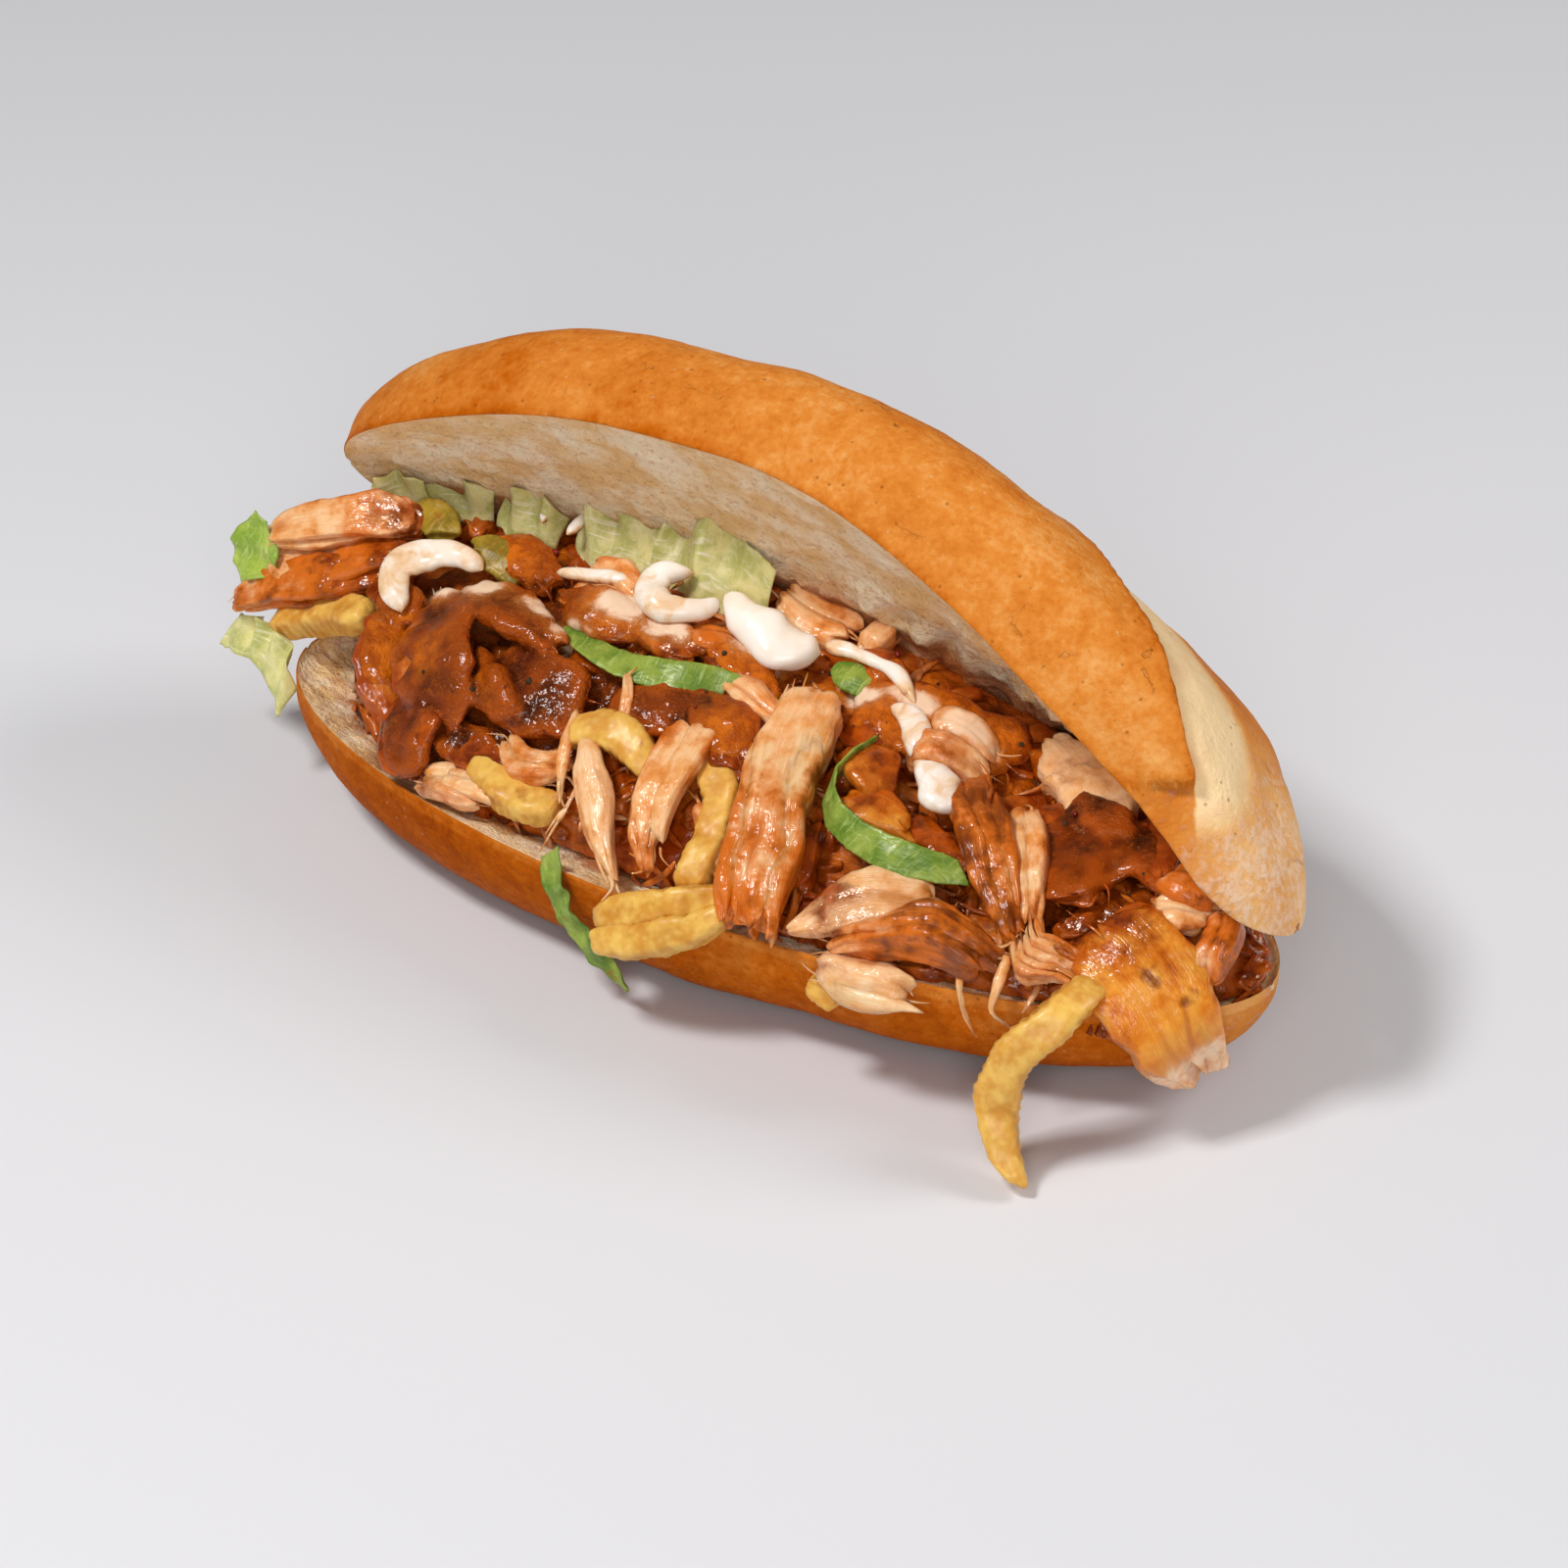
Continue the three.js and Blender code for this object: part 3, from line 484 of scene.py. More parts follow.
def roast_chicken(name, pale, golden, browned, dark):
    """Roast chicken pulled apart: moist long fibres, pale where it tore, browned outside, and darker in its
    grooves as painted shade.
    The attribute grain holds millimetres along, across and out of the piece; glaze, char, groove, sauce and
    cream, which is mayonnaise smeared over it, run from 0 to 1."""
    material, tree = new_material(name)
    fibres = pattern(tree, 1.0, 3, 0.6, 0.3, (8, 0.6, 0.6), "grain")
    streak = pattern(tree, 1.0, 3, 0.5, 0.5, (9, 3.2, 3.2), "grain")
    meat = weighted(tree, (streak, 0.3), (pattern(tree, 6, 4, 0.6), 0.7))
    glaze = broken(tree, "glaze", meat, 1.8, 0.1, 0.8)
    colour = painted(tree, pale, golden, meat, between=(0.36, 0.64))
    colour = painted(tree, colour, golden, fibres, 0.35, (0.5, 0.34))
    colour = painted(tree, colour, painted(tree, browned, dark, meat, 0.7, (0.5, 0.72)), glaze)
    # Painted shade: darker where the groove mask is high, in the cracks between fibre bundles and, more
    # faintly, over torn ends, threads and scraps.
    colour = painted(tree, colour, browned, "groove", 0.4)
    colour = painted(tree, colour, dark, "groove", 0.22, (0.5, 1.0))
    colour = painted(tree, colour, "#5A2006", broken(tree, "char", meat, 2.4, 0.4, 1.0), 0.75)
    film = broken(tree, "sauce", pattern(tree, 8, 5, 0.6), 1.3, 0.3, 0.8)
    brown = painted(tree, "#B2540E", "#642204", pattern(tree, 6, 5, 0.6), between=(0.35, 0.65))
    colour = painted(tree, colour, brown, film, 0.94)
    cream, colour = smeared(tree, colour, "#D68E4A", "#FAEEDC")
    # Sauce and mayonnaise fill the fibres up, and stand on them in beads.
    covered = add_node(tree, "ShaderNodeMath", {"operation": "MAXIMUM"}, i0=film, i1=cream)
    bare = add_node(tree, "ShaderNodeMapRange", SMOOTH, Value=covered, To_Min=1.0, To_Max=0.3)
    drops = add_node(tree, "ShaderNodeMapRange", SMOOTH, Value=film, To_Min=0.3, To_Max=0.8)
    beads = pattern(tree, 2.1)
    height = weighted(tree, (fibres, bare), (beads, drops))
    wet = weighted(tree, (covered, 1.0), (glaze, 0.5))
    shine = add_node(tree, "ShaderNodeMapRange", SMOOTH, Value=wet, From_Max=1.2, To_Min=0.36, To_Max=0.18)
    bump = add_node(tree, "ShaderNodeBump", Height=height, Distance=0.4 * MM, Strength=0.8)
    wet_bump = add_node(tree, "ShaderNodeBump", Height=weighted(tree, (height, 0.4), (beads, 1.0)),
                        Distance=0.4 * MM, Strength=0.9)
    return surfaced(material, Base_Color=colour, Roughness=shine, Normal=bump, Coat_Normal=wet_bump,
                    **light_inside(0.3, 3, 1.5, 0.8), **wet_film(0.25, 0.65, 0.1))


def brown_sauce():
    """Brown pepper sauce over hot meat: wet and grainy, dark red brown where it pooled, orange where it is
    thin and white where mayonnaise is smeared into it. Its ridges are lighter and its hollows darker, partly
    from how thick it lies and partly as painted highlight and painted shade. The attributes hollow, thin,
    cream and calm, which is how smooth it lies, run from 0 to 1."""
    material, tree = new_material("wet_brown_sauce")
    cloud = pattern(tree, 9, 5, 0.6)
    grain = pattern(tree, 1.7, 3, 0.7)
    coarse = pattern(tree, 4.2, 3, 0.6)
    thin = broken(tree, "thin", cloud, 0.9, 0.1, 0.8)
    colour = painted(tree, "#360E02", "#7C3208", cloud, between=(0.34, 0.66))
    # Orange on the ridges and near black in the hollows: partly thinner and thicker sauce, partly painted
    # highlight and painted shade.
    colour = painted(tree, colour, "#B45410", "hollow", 0.75, (0.45, 0.0))
    colour = painted(tree, colour, "#B45C14", grain, 0.5, (0.52, 0.72))
    colour = painted(tree, colour, painted(tree, "#CC6C10", "#A24A08", coarse, between=(0.35, 0.65)), thin)
    colour = painted(tree, colour, "#340C02", "hollow", 0.8, (0.5, 0.95))
    cream, colour = smeared(tree, colour, "#CC8038", "#F6E6D2")
    # It lies smooth where mayonnaise, a pool or thin sauce covers the grains.
    calm = add_node(tree, "ShaderNodeMath", {"operation": "MAXIMUM"}, i0=cream, i1="calm")
    calm = add_node(tree, "ShaderNodeMath", {"operation": "MAXIMUM"}, i0=calm, i1=weighted(tree, (thin, 0.5)))
    rough = add_node(tree, "ShaderNodeMapRange", SMOOTH, Value=calm, To_Min=1.0, To_Max=0.15)
    height = weighted(tree, (coarse, 0.8), (pattern(tree, 0.8, 2, 0.6), 0.35), (grain, 1.0))
    height = weighted(tree, (height, rough))
    bump = add_node(tree, "ShaderNodeBump", Height=height, Distance=1.2 * MM, Strength=1.0)
    wet_bump = add_node(tree, "ShaderNodeBump", Height=weighted(tree, (height, 0.12), (coarse, rough)),
                        Distance=0.7 * MM, Strength=1.0)
    return surfaced(material, Base_Color=colour, Roughness=0.22, Normal=bump, Coat_Normal=wet_bump,
                    **wet_film(0.2, 0.36, 0.08))


def fried_potato():
    """Hand-cut potato, deep fried: yellow, a little see-through, with a blistered and oily skin."""
    material, tree = new_material("fried_potato")
    cloud = pattern(tree, 6, 3, 0.6)
    blister = add_node(tree, "ShaderNodeTexVoronoi", {"feature": "SMOOTH_F1"}, Vector=coords(tree, 2.1),
                       Scale=1.0)
    colour = painted(tree, "#D8983A", "#ECBC5A", cloud, between=(0.35, 0.65))
    # Painted shade: the chip's dents are darker.
    colour = painted(tree, colour, "#B8700E", "groove", 0.7)
    colour = painted(tree, colour, "#F6DA84", blister, 0.22, (0.5, 0.1))
    film = broken(tree, "sauce", pattern(tree, 5, 3), 1.2, 0.4, 0.7)
    colour = painted(tree, colour, "#A8561E", film, 0.8)
    bump = add_node(tree, "ShaderNodeBump", Height=weighted(tree, (cloud, 0.5), (blister, -0.8)),
                    Distance=0.25 * MM, Strength=0.6)
    return surfaced(material, Base_Color=colour, Roughness=0.34, Normal=bump, Specular_IOR_Level=0.35,
                    **light_inside(0.2, 3, 2, 0.8))


def leaf(name, pale, deep, vein, cut):
    """Raw leaf, cut across: thin, waxy and moist, lighter along its ribs and darker at its cut rim.
    The attribute grain is as for chicken, rim is 1 at the cut, and sauce runs from 0 to 1."""
    material, tree = new_material(name)
    cloud = pattern(tree, 7, 3, 0.6)
    ribs = pattern(tree, 1.0, 3, 0.6, 0.4, (1.3, 7, 7), "grain")
    net = add_node(tree, "ShaderNodeTexVoronoi", {"feature": "DISTANCE_TO_EDGE"},
                   Vector=coords(tree, 1.7, (2, 1, 1), "grain"), Scale=1.0)
    colour = painted(tree, pale, deep, cloud, between=(0.35, 0.65))
    colour = painted(tree, colour, vein, ribs, 0.6, (0.54, 0.68))
    colour = painted(tree, colour, vein, net, 0.22, (0.07, 0.0))
    colour = painted(tree, colour, cut, "rim", 0.8)
    film = broken(tree, "sauce", pattern(tree, 4, 3, 0.6), 1.2, 0.45, 0.75)
    colour = painted(tree, colour, "#9A5A1E", film, 0.8)
    shine = add_node(tree, "ShaderNodeMapRange", SMOOTH, Value=cloud, From_Min=0.3, From_Max=0.7, To_Min=0.24,
                     To_Max=0.4)
    bump = add_node(tree, "ShaderNodeBump", Height=weighted(tree, (ribs, 1.0), (net, 1.0)), Distance=0.3 * MM,
                    Strength=0.6)
    return surfaced(material, Base_Color=colour, Roughness=shine, Normal=bump, Specular_IOR_Level=0.3,
                    **light_inside(0.25, 1.5, 2.2, 0.8))


def garlic_mayonnaise():
    """Egg and oil sauce squeezed from a bottle: opaque, off-white, smooth, shiny, tinted by brown sauce."""
    material, tree = new_material("garlic_mayonnaise")
    swirls = pattern(tree, 6, 4, 0.6, 0.8)
    colour = painted(tree, "#FDF5EC", "#F8EADA", pattern(tree, 9), between=(0.35, 0.65))
    colour = painted(tree, colour, "#E9BC84", broken(tree, "sauce", swirls, 1.4, 0.1, 0.6), 0.85)
    colour = painted(tree, colour, "#A4500E", broken(tree, "sauce", swirls, 1.4, 0.5, 1.0))
    bump = add_node(tree, "ShaderNodeBump", Height=pattern(tree, 5), Distance=0.35 * MM, Strength=0.4)
    return surfaced(material, Base_Color=colour, Roughness=0.2, Normal=bump, Specular_IOR_Level=0.4,
                    **light_inside(0.3, 2.5, 2, 1.6))


def plain(name, code, roughness):
    """One even colour: a dried flake or the floor is too small, or too plain, to show a pattern."""
    material, _ = new_material(name)
    return surfaced(material, Base_Color=code, Roughness=roughness)


CRUST = baked_crust()
CRUMB = bread_crumb()
CHICKEN = roast_chicken("pulled_roast_chicken", "#FCDAB2", "#ECA65C", "#D6761E", "#7E3008")
SAUCED = roast_chicken("chicken_in_brown_sauce", "#DE8A38", "#C46418", "#A24408", "#561602")
OILED = roast_chicken("chicken_shining_with_sauce", "#F0B04A", "#E08618", "#C4620A", "#8A3604")
BREAST = roast_chicken("white_roast_breast", "#FDE2C0", "#F2C08A", "#D88A3C", "#8E400E")
SAUCE = brown_sauce()
POTATO = fried_potato()
GREEN = leaf("cut_green_leaf", "#93A644", "#5F8024", "#B6C26C", "#3E5E16")
FRILL = leaf("young_green_leaf", "#AFC04F", "#86A238", "#D0D98A", "#7B9A32")
PALE = leaf("pale_crisp_lettuce", "#E0D892", "#B8B868", "#F6EED0", "#CCC678")
MAYO = garlic_mayonnaise()
PEPPER = leaf("stewed_green_pepper", "#A88828", "#7E6C1A", "#BE9C44", "#5A4A10")
HERB = plain("dried_green_herb", "#3A2A0C", 0.8)
CHILLI = plain("red_chilli_flake", "#7A0E0A", 0.3)


# ---------------------------------------------------------------- the bread


def along(half, x):
    """Where x lies between the two ends of a half of the roll, from -1 to 1."""
    return np.clip((2 * x - half["from"] - half["to"]) / (half["to"] - half["from"]), -0.9995, 0.9995)


def half_width(half, x):
    """The plan outline of a half of the roll."""
    return half["width"] / 2 * (1 - np.abs(along(half, x)) ** half["plan"]) ** (1 / half["plan"])


def end_taper(half, x):
    """How much of its height a half keeps towards its rounded ends."""
    return (1 - np.abs(along(half, x)) ** 3.2) ** (1 / 2.4)


def bend_at(x):
    """The roll's right end curves to the front."""
    return -BEND["by"] * smoothstep(BEND["from"], BEND["to"], x)


def opening_at(x):
    """How far the lid is open, in radians, with the corners between the stops rounded off."""
    share = (x - LID["from"]) / (LID["to"] - LID["from"])
    stops = np.array(OPENING, float)
    soft = [np.interp(share + d, stops[:, 0], stops[:, 1]) for d in (-0.06, -0.03, 0, 0.03, 0.06)]
    return np.radians(np.mean(soft, axis=0))


def stations(half, count):
    """Where the sections stand, closer together towards the ends."""
    middle = (half["from"] + half["to"]) / 2
    reach = (half["to"] - half["from"]) / 2
    return middle - reach * 0.9995 * np.cos(np.pi * np.linspace(0, 1, count))


def section(half, x, tall, hollow, crust_steps, cut_steps):
    """One section, first over the crust and then back along the cut: y, height, how far each point is from
    the cut's edge, below 0 on the crust, and its share of the way over the crust, 2 on the cut."""
    wide = float(half_width(half, x))
    taper = float(end_taper(half, x))
    angle = np.pi * (1 - np.linspace(0, 1, 600))
    power = 2 / half["power"]
    y = wide * np.sign(np.cos(angle)) * np.abs(np.cos(angle)) ** power
    h = tall * taper * np.abs(np.sin(angle)) ** power
    run = np.concatenate([[0], np.cumsum(np.hypot(np.diff(y), np.diff(h)))])
    even = np.linspace(0, run[-1], crust_steps)
    share = np.linspace(1, -1, cut_steps + 2)[1:-1]
    across = np.concatenate([np.interp(even, run, y), wide * share])
    height = np.concatenate([np.interp(even, run, h), hollow * taper * (1 - share**2)])
    edge = np.concatenate([-np.minimum(even, run[-1] - even), wide * (1 - np.abs(share))])
    return across, height, edge, np.concatenate([even / run[-1], np.full(cut_steps, 2.0)])


def shell(half, tall, hollow, place):
    """A closed loft of sections: points, faces, edge distances, shares over the crust and materials."""
    count = int((half["to"] - half["from"]) / BREAD_PITCH)
    crust_steps = int((half["width"] + 1.2 * tall) / BREAD_PITCH)
    cut_steps = int(half["width"] * 0.92 / BREAD_PITCH)
    rings, edges, sides = [], [], []
    for x in stations(half, count):
        y, h, edge, side = section(half, x, tall, hollow, crust_steps, cut_steps)
        rings.append(place(np.full_like(y, x), y, h))
        edges.append(edge)
        sides.append(side)
    points = np.vstack([*rings, rings[0].mean(0), rings[-1].mean(0)])
    around = crust_steps + cut_steps
    cut = np.arange((count - 1) * around) % around >= crust_steps - 1
    slots = np.concatenate([cut, np.zeros(2 * around)]).astype(int)
    edges, sides = np.concatenate([*edges, [-5.0, -5.0]]), np.concatenate([*sides, [0.5, 0.5]])
    return points, loft_faces(count, around), edges, sides, slots


def beyond_score(points):
    """Signed distances past the score's back plane, and past either of its planes: below 0 on the flap."""
    distances = [(points - np.array(p["point"])) @ unit(p["facing"]) for p in (SCORE_BEHIND, SCORE_BELOW)]
    return distances[0], np.maximum(*distances)


def place_base(x, y, h):
    """The base lies on its crust, pressed flat underneath."""
    z = np.maximum(BASE["height"] - h, 0.0)
    return np.stack([x, y + bend_at(x), z], -1)


def place_lid(x, y, h):
    """The lid stands open about the hinge."""
    angle = opening_at(x)
    out = y - LID["forward"] - HINGE["y"]
    reach = HINGE["y"] + out * np.cos(angle) + h * np.sin(angle) + bend_at(x)
    return np.stack([x, reach, HINGE["z"] - out * np.sin(angle) + h * np.cos(angle)], -1)


def torn_crumb(points, edge, torn):
    """How far a cut crumb face stands out: small pores everywhere, tufts and tears where it was pulled."""
    warped = points + 2.5 * np.stack([lumps(points, 9, s) for s in (31, 32, 33)], -1)
    tufts = layered(warped, 11, 3, 5)
    ridges = 1 - np.abs(layered(warped, 8, 3, 9)) * 2.6
    pits = smoothstep(0.3, 0.7, lumps(points, 3.2, 12)) + 0.8 * smoothstep(0.4, 0.8, lumps(points, 6, 13))
    fine = 0.4 * lumps(points, 2.6, 14)
    rough = torn * (3.6 * tufts + 1.0 * ridges + 0.8 * lumps(points, 4.5, 15) - 0.4)
    return smoothstep(0.3, 4.0, edge) * (0.8 * tufts + fine - 0.8 * pits + rough)


def crust_lumps(points):
    """The uneven skin of a hand-shaped roll, from broad swells down to fine grain."""
    swells = ((1.0, 38, 3), (0.55, 15, 4), (0.24, 6.5, 6), (0.1, 2.8, 7))  # height, size, seed
    return sum(height * lumps(points, size, seed) for height, size, seed in swells)


def make_lid():
    """The lid, with the baker's cut over its top: a raised flap behind it, and a floury nose past it."""
    points, faces, edge, side, slots = shell(LID, LID["height"], LID_HOLLOW, place_lid)
    faces = [f[::-1] for f in faces]
    lid = mesh_object("bread_lid", points, faces, (CRUST, CRUMB), slots)
    normals = normals_of(lid)
    first, past = beyond_score(points)
    wobble = 1.6 * lumps(points, 16, 21) + 0.5 * lumps(points, 5, 22)
    first, past = first + wobble, past + wobble
    crust = side <= 1.0
    rim = smoothstep(0.0, 12.0, -edge)
    flap = FLAP_STEP + 1.0 * np.exp(-((past / 4.0) ** 2))
    nose_step = -NOSE_STEP - 0.8 * np.exp(-((past / 2.5) ** 2))
    step = flap + (nose_step - flap) * smoothstep(-0.4, 0.4, past)
    # The crumb tore instead of parting cleanly along the middle of its lower half.
    height = points[:, 2] - HINGE["z"]
    torn = smoothstep(-50, 0, points[:, 0]) * smoothstep(60, 35, height)
    torn += 0.1 + 0.25 * np.clip(lumps(points, 30, 8), 0, 1)
    skin = crust_lumps(points) * (0.35 + 0.65 * rim) + step * rim
    move = np.where(crust, skin, torn_crumb(points, edge, torn))
    points = points + normals * move[:, None]
    move_points(lid, points + MIDDLE)
    pale_band = smoothstep(-0.2, 0.8, first) * smoothstep(34, 20, first) * smoothstep(72, 92, points[:, 2])
    nose = smoothstep(-0.2, 0.8, past) * (1 - pale_band)
    back = smoothstep(0.25, 0.7, side) * crust
    bake = 0.47 + 0.12 * back + 0.1 * lumps(points, 30, 41)
    bake -= 0.1 * smoothstep(30, 100, points[:, 0])
    bake += 0.10 * smoothstep(4.0, 0.0, -edge) * crust
    bake += 0.2 * (past < 0) * np.exp(-((past / 4.0) ** 2)) - 0.32 * pale_band
    nose_bake = 0.31 + 0.12 * lumps(points, 12, 44) + 0.14 * smoothstep(134, 116, points[:, 0])
    bake = bake + (nose_bake - bake) * smoothstep(0.3, 0.7, nose)
    set_values(lid, "bake", np.clip(bake, 0, 1))
    far = smoothstep(112, 140, points[:, 0])
    set_values(lid, "flour", np.clip(nose * (0.25 + 0.45 * far) + 0.45 * pale_band, 0, 1) * crust)
    set_values(lid, "edge", np.where(crust, -1.0, edge))
    top = np.array(SLOPE_TOP, float)
    above = points[:, 2] - np.interp(points[:, 0], top[:, 0], top[:, 2])
    low = smoothstep(12, 2, above - 6 * smoothstep(60, 110, points[:, 0]))
    set_values(lid, "wet", np.clip(0.75 * low + 0.2 * lumps(points, 12, 51), 0, 1))
    finished(lid, "roll")


def make_base():
    """The base, flat underneath and darker than the lid, partly from a deeper bake and partly as painted
    shade, with its crumb pressed down by the filling.
    """
    points, faces, edge, side, slots = shell(BASE, BASE["height"] + BASE["sink"], BED_DEPTH, place_base)
    base = mesh_object("bread_base", points, faces, (CRUST, CRUMB), slots)
    normals = normals_of(base)
    crust = side <= 1.0
    flat = points[:, 2] < 0.05
    rim = smoothstep(0.0, 12.0, -edge)
    move = np.where(crust, crust_lumps(points) * (0.35 + 0.65 * rim), torn_crumb(points, edge, 0.1))
    move = np.where(flat, 0.0, move)
    points = points + normals * move[:, None]
    points[:, 2] = np.maximum(points[:, 2], 0.0)
    move_points(base, points + MIDDLE)
    # Painted shade and a deeper bake together: the base's bake level is set above the lid's and rises towards
    # the floor.
    low = smoothstep(14, 0, points[:, 2])
    nose = smoothstep(112, 136, points[:, 0])
    bake = 0.66 + 0.1 * lumps(points, 30, 42) + 0.2 * low - 0.2 * nose
    bake = np.where(smoothstep(4.0, 0.0, -edge) > 0.1, bake - 0.1, bake)
    set_values(base, "bake", np.clip(bake, 0, 1))
    torn = smoothstep(130, 138, points[:, 0]) * smoothstep(14, 26, points[:, 2])
    set_values(base, "flour", np.clip(nose * (0.2 + 0.4 * low) + 0.2 * torn, 0, 1) * crust)
    set_values(base, "edge", np.where(crust, -1.0, edge))
    set_values(base, "wet", np.clip(0.3 + 0.3 * lumps(points, 14, 52) + 0.4 * smoothstep(6, 16, edge), 0, 1))
    finished(base, "roll")


def make_web():
    """The uncut bread along the hinge, with its crust outside."""
    count, around = int(2 * WEB["reach"] / BREAD_PITCH / 1.5), 40
    x = np.linspace(-WEB["reach"], WEB["reach"], count)[:, None]
    full = np.sqrt(np.maximum(1 - (x / WEB["reach"]) ** 6, 0.1))
    angle = np.linspace(0, 2 * np.pi, around, endpoint=False)[None, :]
    y = np.minimum(HINGE["y"] - 1, half_width(BASE, x) - WEB["inside"]) + bend_at(x)
    z = WEB["z"] + WEB["high"] * full * np.sin(angle)
    points = np.stack([x + 0 * angle, y + WEB["deep"] * full * np.cos(angle), z], -1).reshape(-1, 3)
    faces = loft_faces(count, around, tips=False)
    faces.append(list(range(around))[::-1])
    faces.append([(count - 1) * around + a for a in range(around)])
    web = mesh_object("bread_hinge", points, faces, (CRUST,))
    points = points + normals_of(web) * crust_lumps(points)[:, None]
    move_points(web, points + MIDDLE)
    set_values(web, "bake", 0.45 + 0.15 * lumps(points, 12, 61))
    set_values(web, "flour", np.zeros(len(points)))
    finished(web, "roll")


# ---------------------------------------------------------------- pieces that grow from their CAD nodes or are laid on the slope


def twisted(line, local, twist):
    """Places in a piece turned about its middle line, by degrees that may change along it."""
    s, a, b = np.asarray(local, float).T
    turn = np.radians(spread(twist, (s - line.start) / line.length))
    return s, a * np.cos(turn) - b * np.sin(turn), a * np.sin(turn) + b * np.cos(turn)


class Spine:
    """The middle line of a piece with its width and thickness, read off its CAD node's own surface. A place
    in the piece is millimetres along, across and out from its middle."""

    def __init__(self, node):
        copy = remeshed(node_copy("spine_probe", node), 0.9)
        points = points_of(copy)
        discard(copy)
        self.middle = points.mean(0)
        centred = points - self.middle
        _, _, axes = np.linalg.svd(centred, full_matrices=False)
        if axes[0] @ np.array([1.0, -0.6, -0.4]) < 0:
            axes[0] *= -1
        self.along = axes[0]
        s = centred @ axes[0]
        self.start, self.end = s.min(), s.max()
        self.length = self.end - self.start
        degree = 3 if self.length > 18 else 1
        rest = centred - np.outer(s, axes[0])
        self.curve = [np.polyfit(s, rest @ axis, degree) for axis in axes[1:]]
        self.side_axes = axes[1:]
        rest = rest - self._bow(s)
        _, _, across = np.linalg.svd(rest, full_matrices=False)
        self.across = unit(across[0] - (across[0] @ axes[0]) * axes[0])
        self.out = unit(np.cross(self.along, self.across))
        if self.out[2] - 0.7 * self.out[1] < 0:
            self.out *= -1
            self.across *= -1
        a, b = rest @ self.across, rest @ self.out
        bins = np.linspace(self.start, self.end, 13)
        self.stops = ((bins[1:] + bins[:-1]) / 2 - self.start) / self.length
        rows = []
        for low, high in zip(bins[:-1], bins[1:]):
            inside = (s >= low - 1) & (s <= high + 1)
            rows.append([*np.percentile(a[inside], (1, 99)), *np.percentile(b[inside], (1, 99))])
        self.rows = np.array(rows)

    def _bow(self, s):
        """How far the middle line bows away from a straight one."""
        kept = np.clip(s, self.start, self.end)
        return sum(np.outer(np.polyval(fit, kept), axis) for fit, axis in zip(self.curve, self.side_axes))

    def sizes(self, share):
        """Left, right, low and high limits at shares of the length."""
        return [np.interp(share, self.stops, self.rows[:, k]) for k in range(4)]

    def world(self, local, twist=0.0):
        """Places in the row frame from places in the piece, turned about its middle line."""
        s, a, b = twisted(self, local, twist)
        flat = self.middle + np.outer(s, self.along) + self._bow(s)
        return flat + np.outer(a, self.across) + np.outer(b, self.out)

    def grain(self, points):
        """Millimetres along, across and out of the piece."""
        centred = points - self.middle
        s = centred @ self.along
        rest = centred - self._bow(s)
        return np.stack([s, rest @ self.across, rest @ self.out], -1)


def slope_lines(x):
    """The foot and the top of the filling's slope at x, in the roll's own frame: y and z of each."""
    lines = [np.array(line, float).T for line in (SLOPE_FOOT, SLOPE_TOP)]
    return [np.interp(x, line[0], line[k]) for line in lines for k in (1, 2)]


def slope_place(x, share, height):
    """Places on the filling's slope, in the row frame, and the way the slope faces there."""
    fy, fz, ty, tz = slope_lines(x)
    out = unit(np.stack([0 * x, fz - tz, ty - fy], -1))
    rise = SLOPE_SWELL * np.sin(np.pi * np.clip(share, 0, 1)) + height
    straight = np.stack([x, fy + (ty - fy) * share, fz + (tz - fz) * share], -1)
    return straight + out * rise[:, None] + MIDDLE, out


class Laid:
    """The middle line of a piece laid on the slope through places given as x, share of the way up and height,
    with its width and thickness. A place in the piece is millimetres along, across and out."""

    def __init__(self, route, wide, thick):
        t = np.linspace(0, len(route) - 1, 60)
        flat = np.stack([np.interp(t, range(len(route)), column) for column in np.array(route, float).T], -1)
        for _ in range(30):
            flat[1:-1] = (flat[:-2] + 2 * flat[1:-1] + flat[2:]) / 4
        self.line, out = slope_place(*flat.T)
        run = np.concatenate([[0], np.cumsum(np.linalg.norm(np.diff(self.line, axis=0), axis=1))])
        self.length = run[-1]
        self.start, self.end = -self.length / 2, self.length / 2
        self.run = run - self.length / 2
        self.ahead = unit(np.gradient(self.line, axis=0))
        self.across = unit(np.cross(out, self.ahead))
        self.out = np.cross(self.ahead, self.across)
        self.half = np.asarray(wide, float) / 2
        self.tall = np.asarray(thick, float) / 2

    def sizes(self, share):
        """Left, right, low and high limits at shares of the length."""
        half, tall = spread(self.half, share), spread(self.tall, share)
        return -half, half, -tall, tall

    def world(self, local, twist=0.0):
        """Places in the row frame from places in the piece, turned about its middle line."""
        s, a, b = twisted(self, local, twist)
        frames = [
            np.stack([np.interp(s, self.run, table[:, k]) for k in range(3)], -1)
            for table in (self.line, self.ahead, self.across, self.out)
        ]
        beyond = s - np.clip(s, self.start, self.end)
        return frames[0] + frames[1] * beyond[:, None] + frames[2] * a[:, None] + frames[3] * b[:, None]


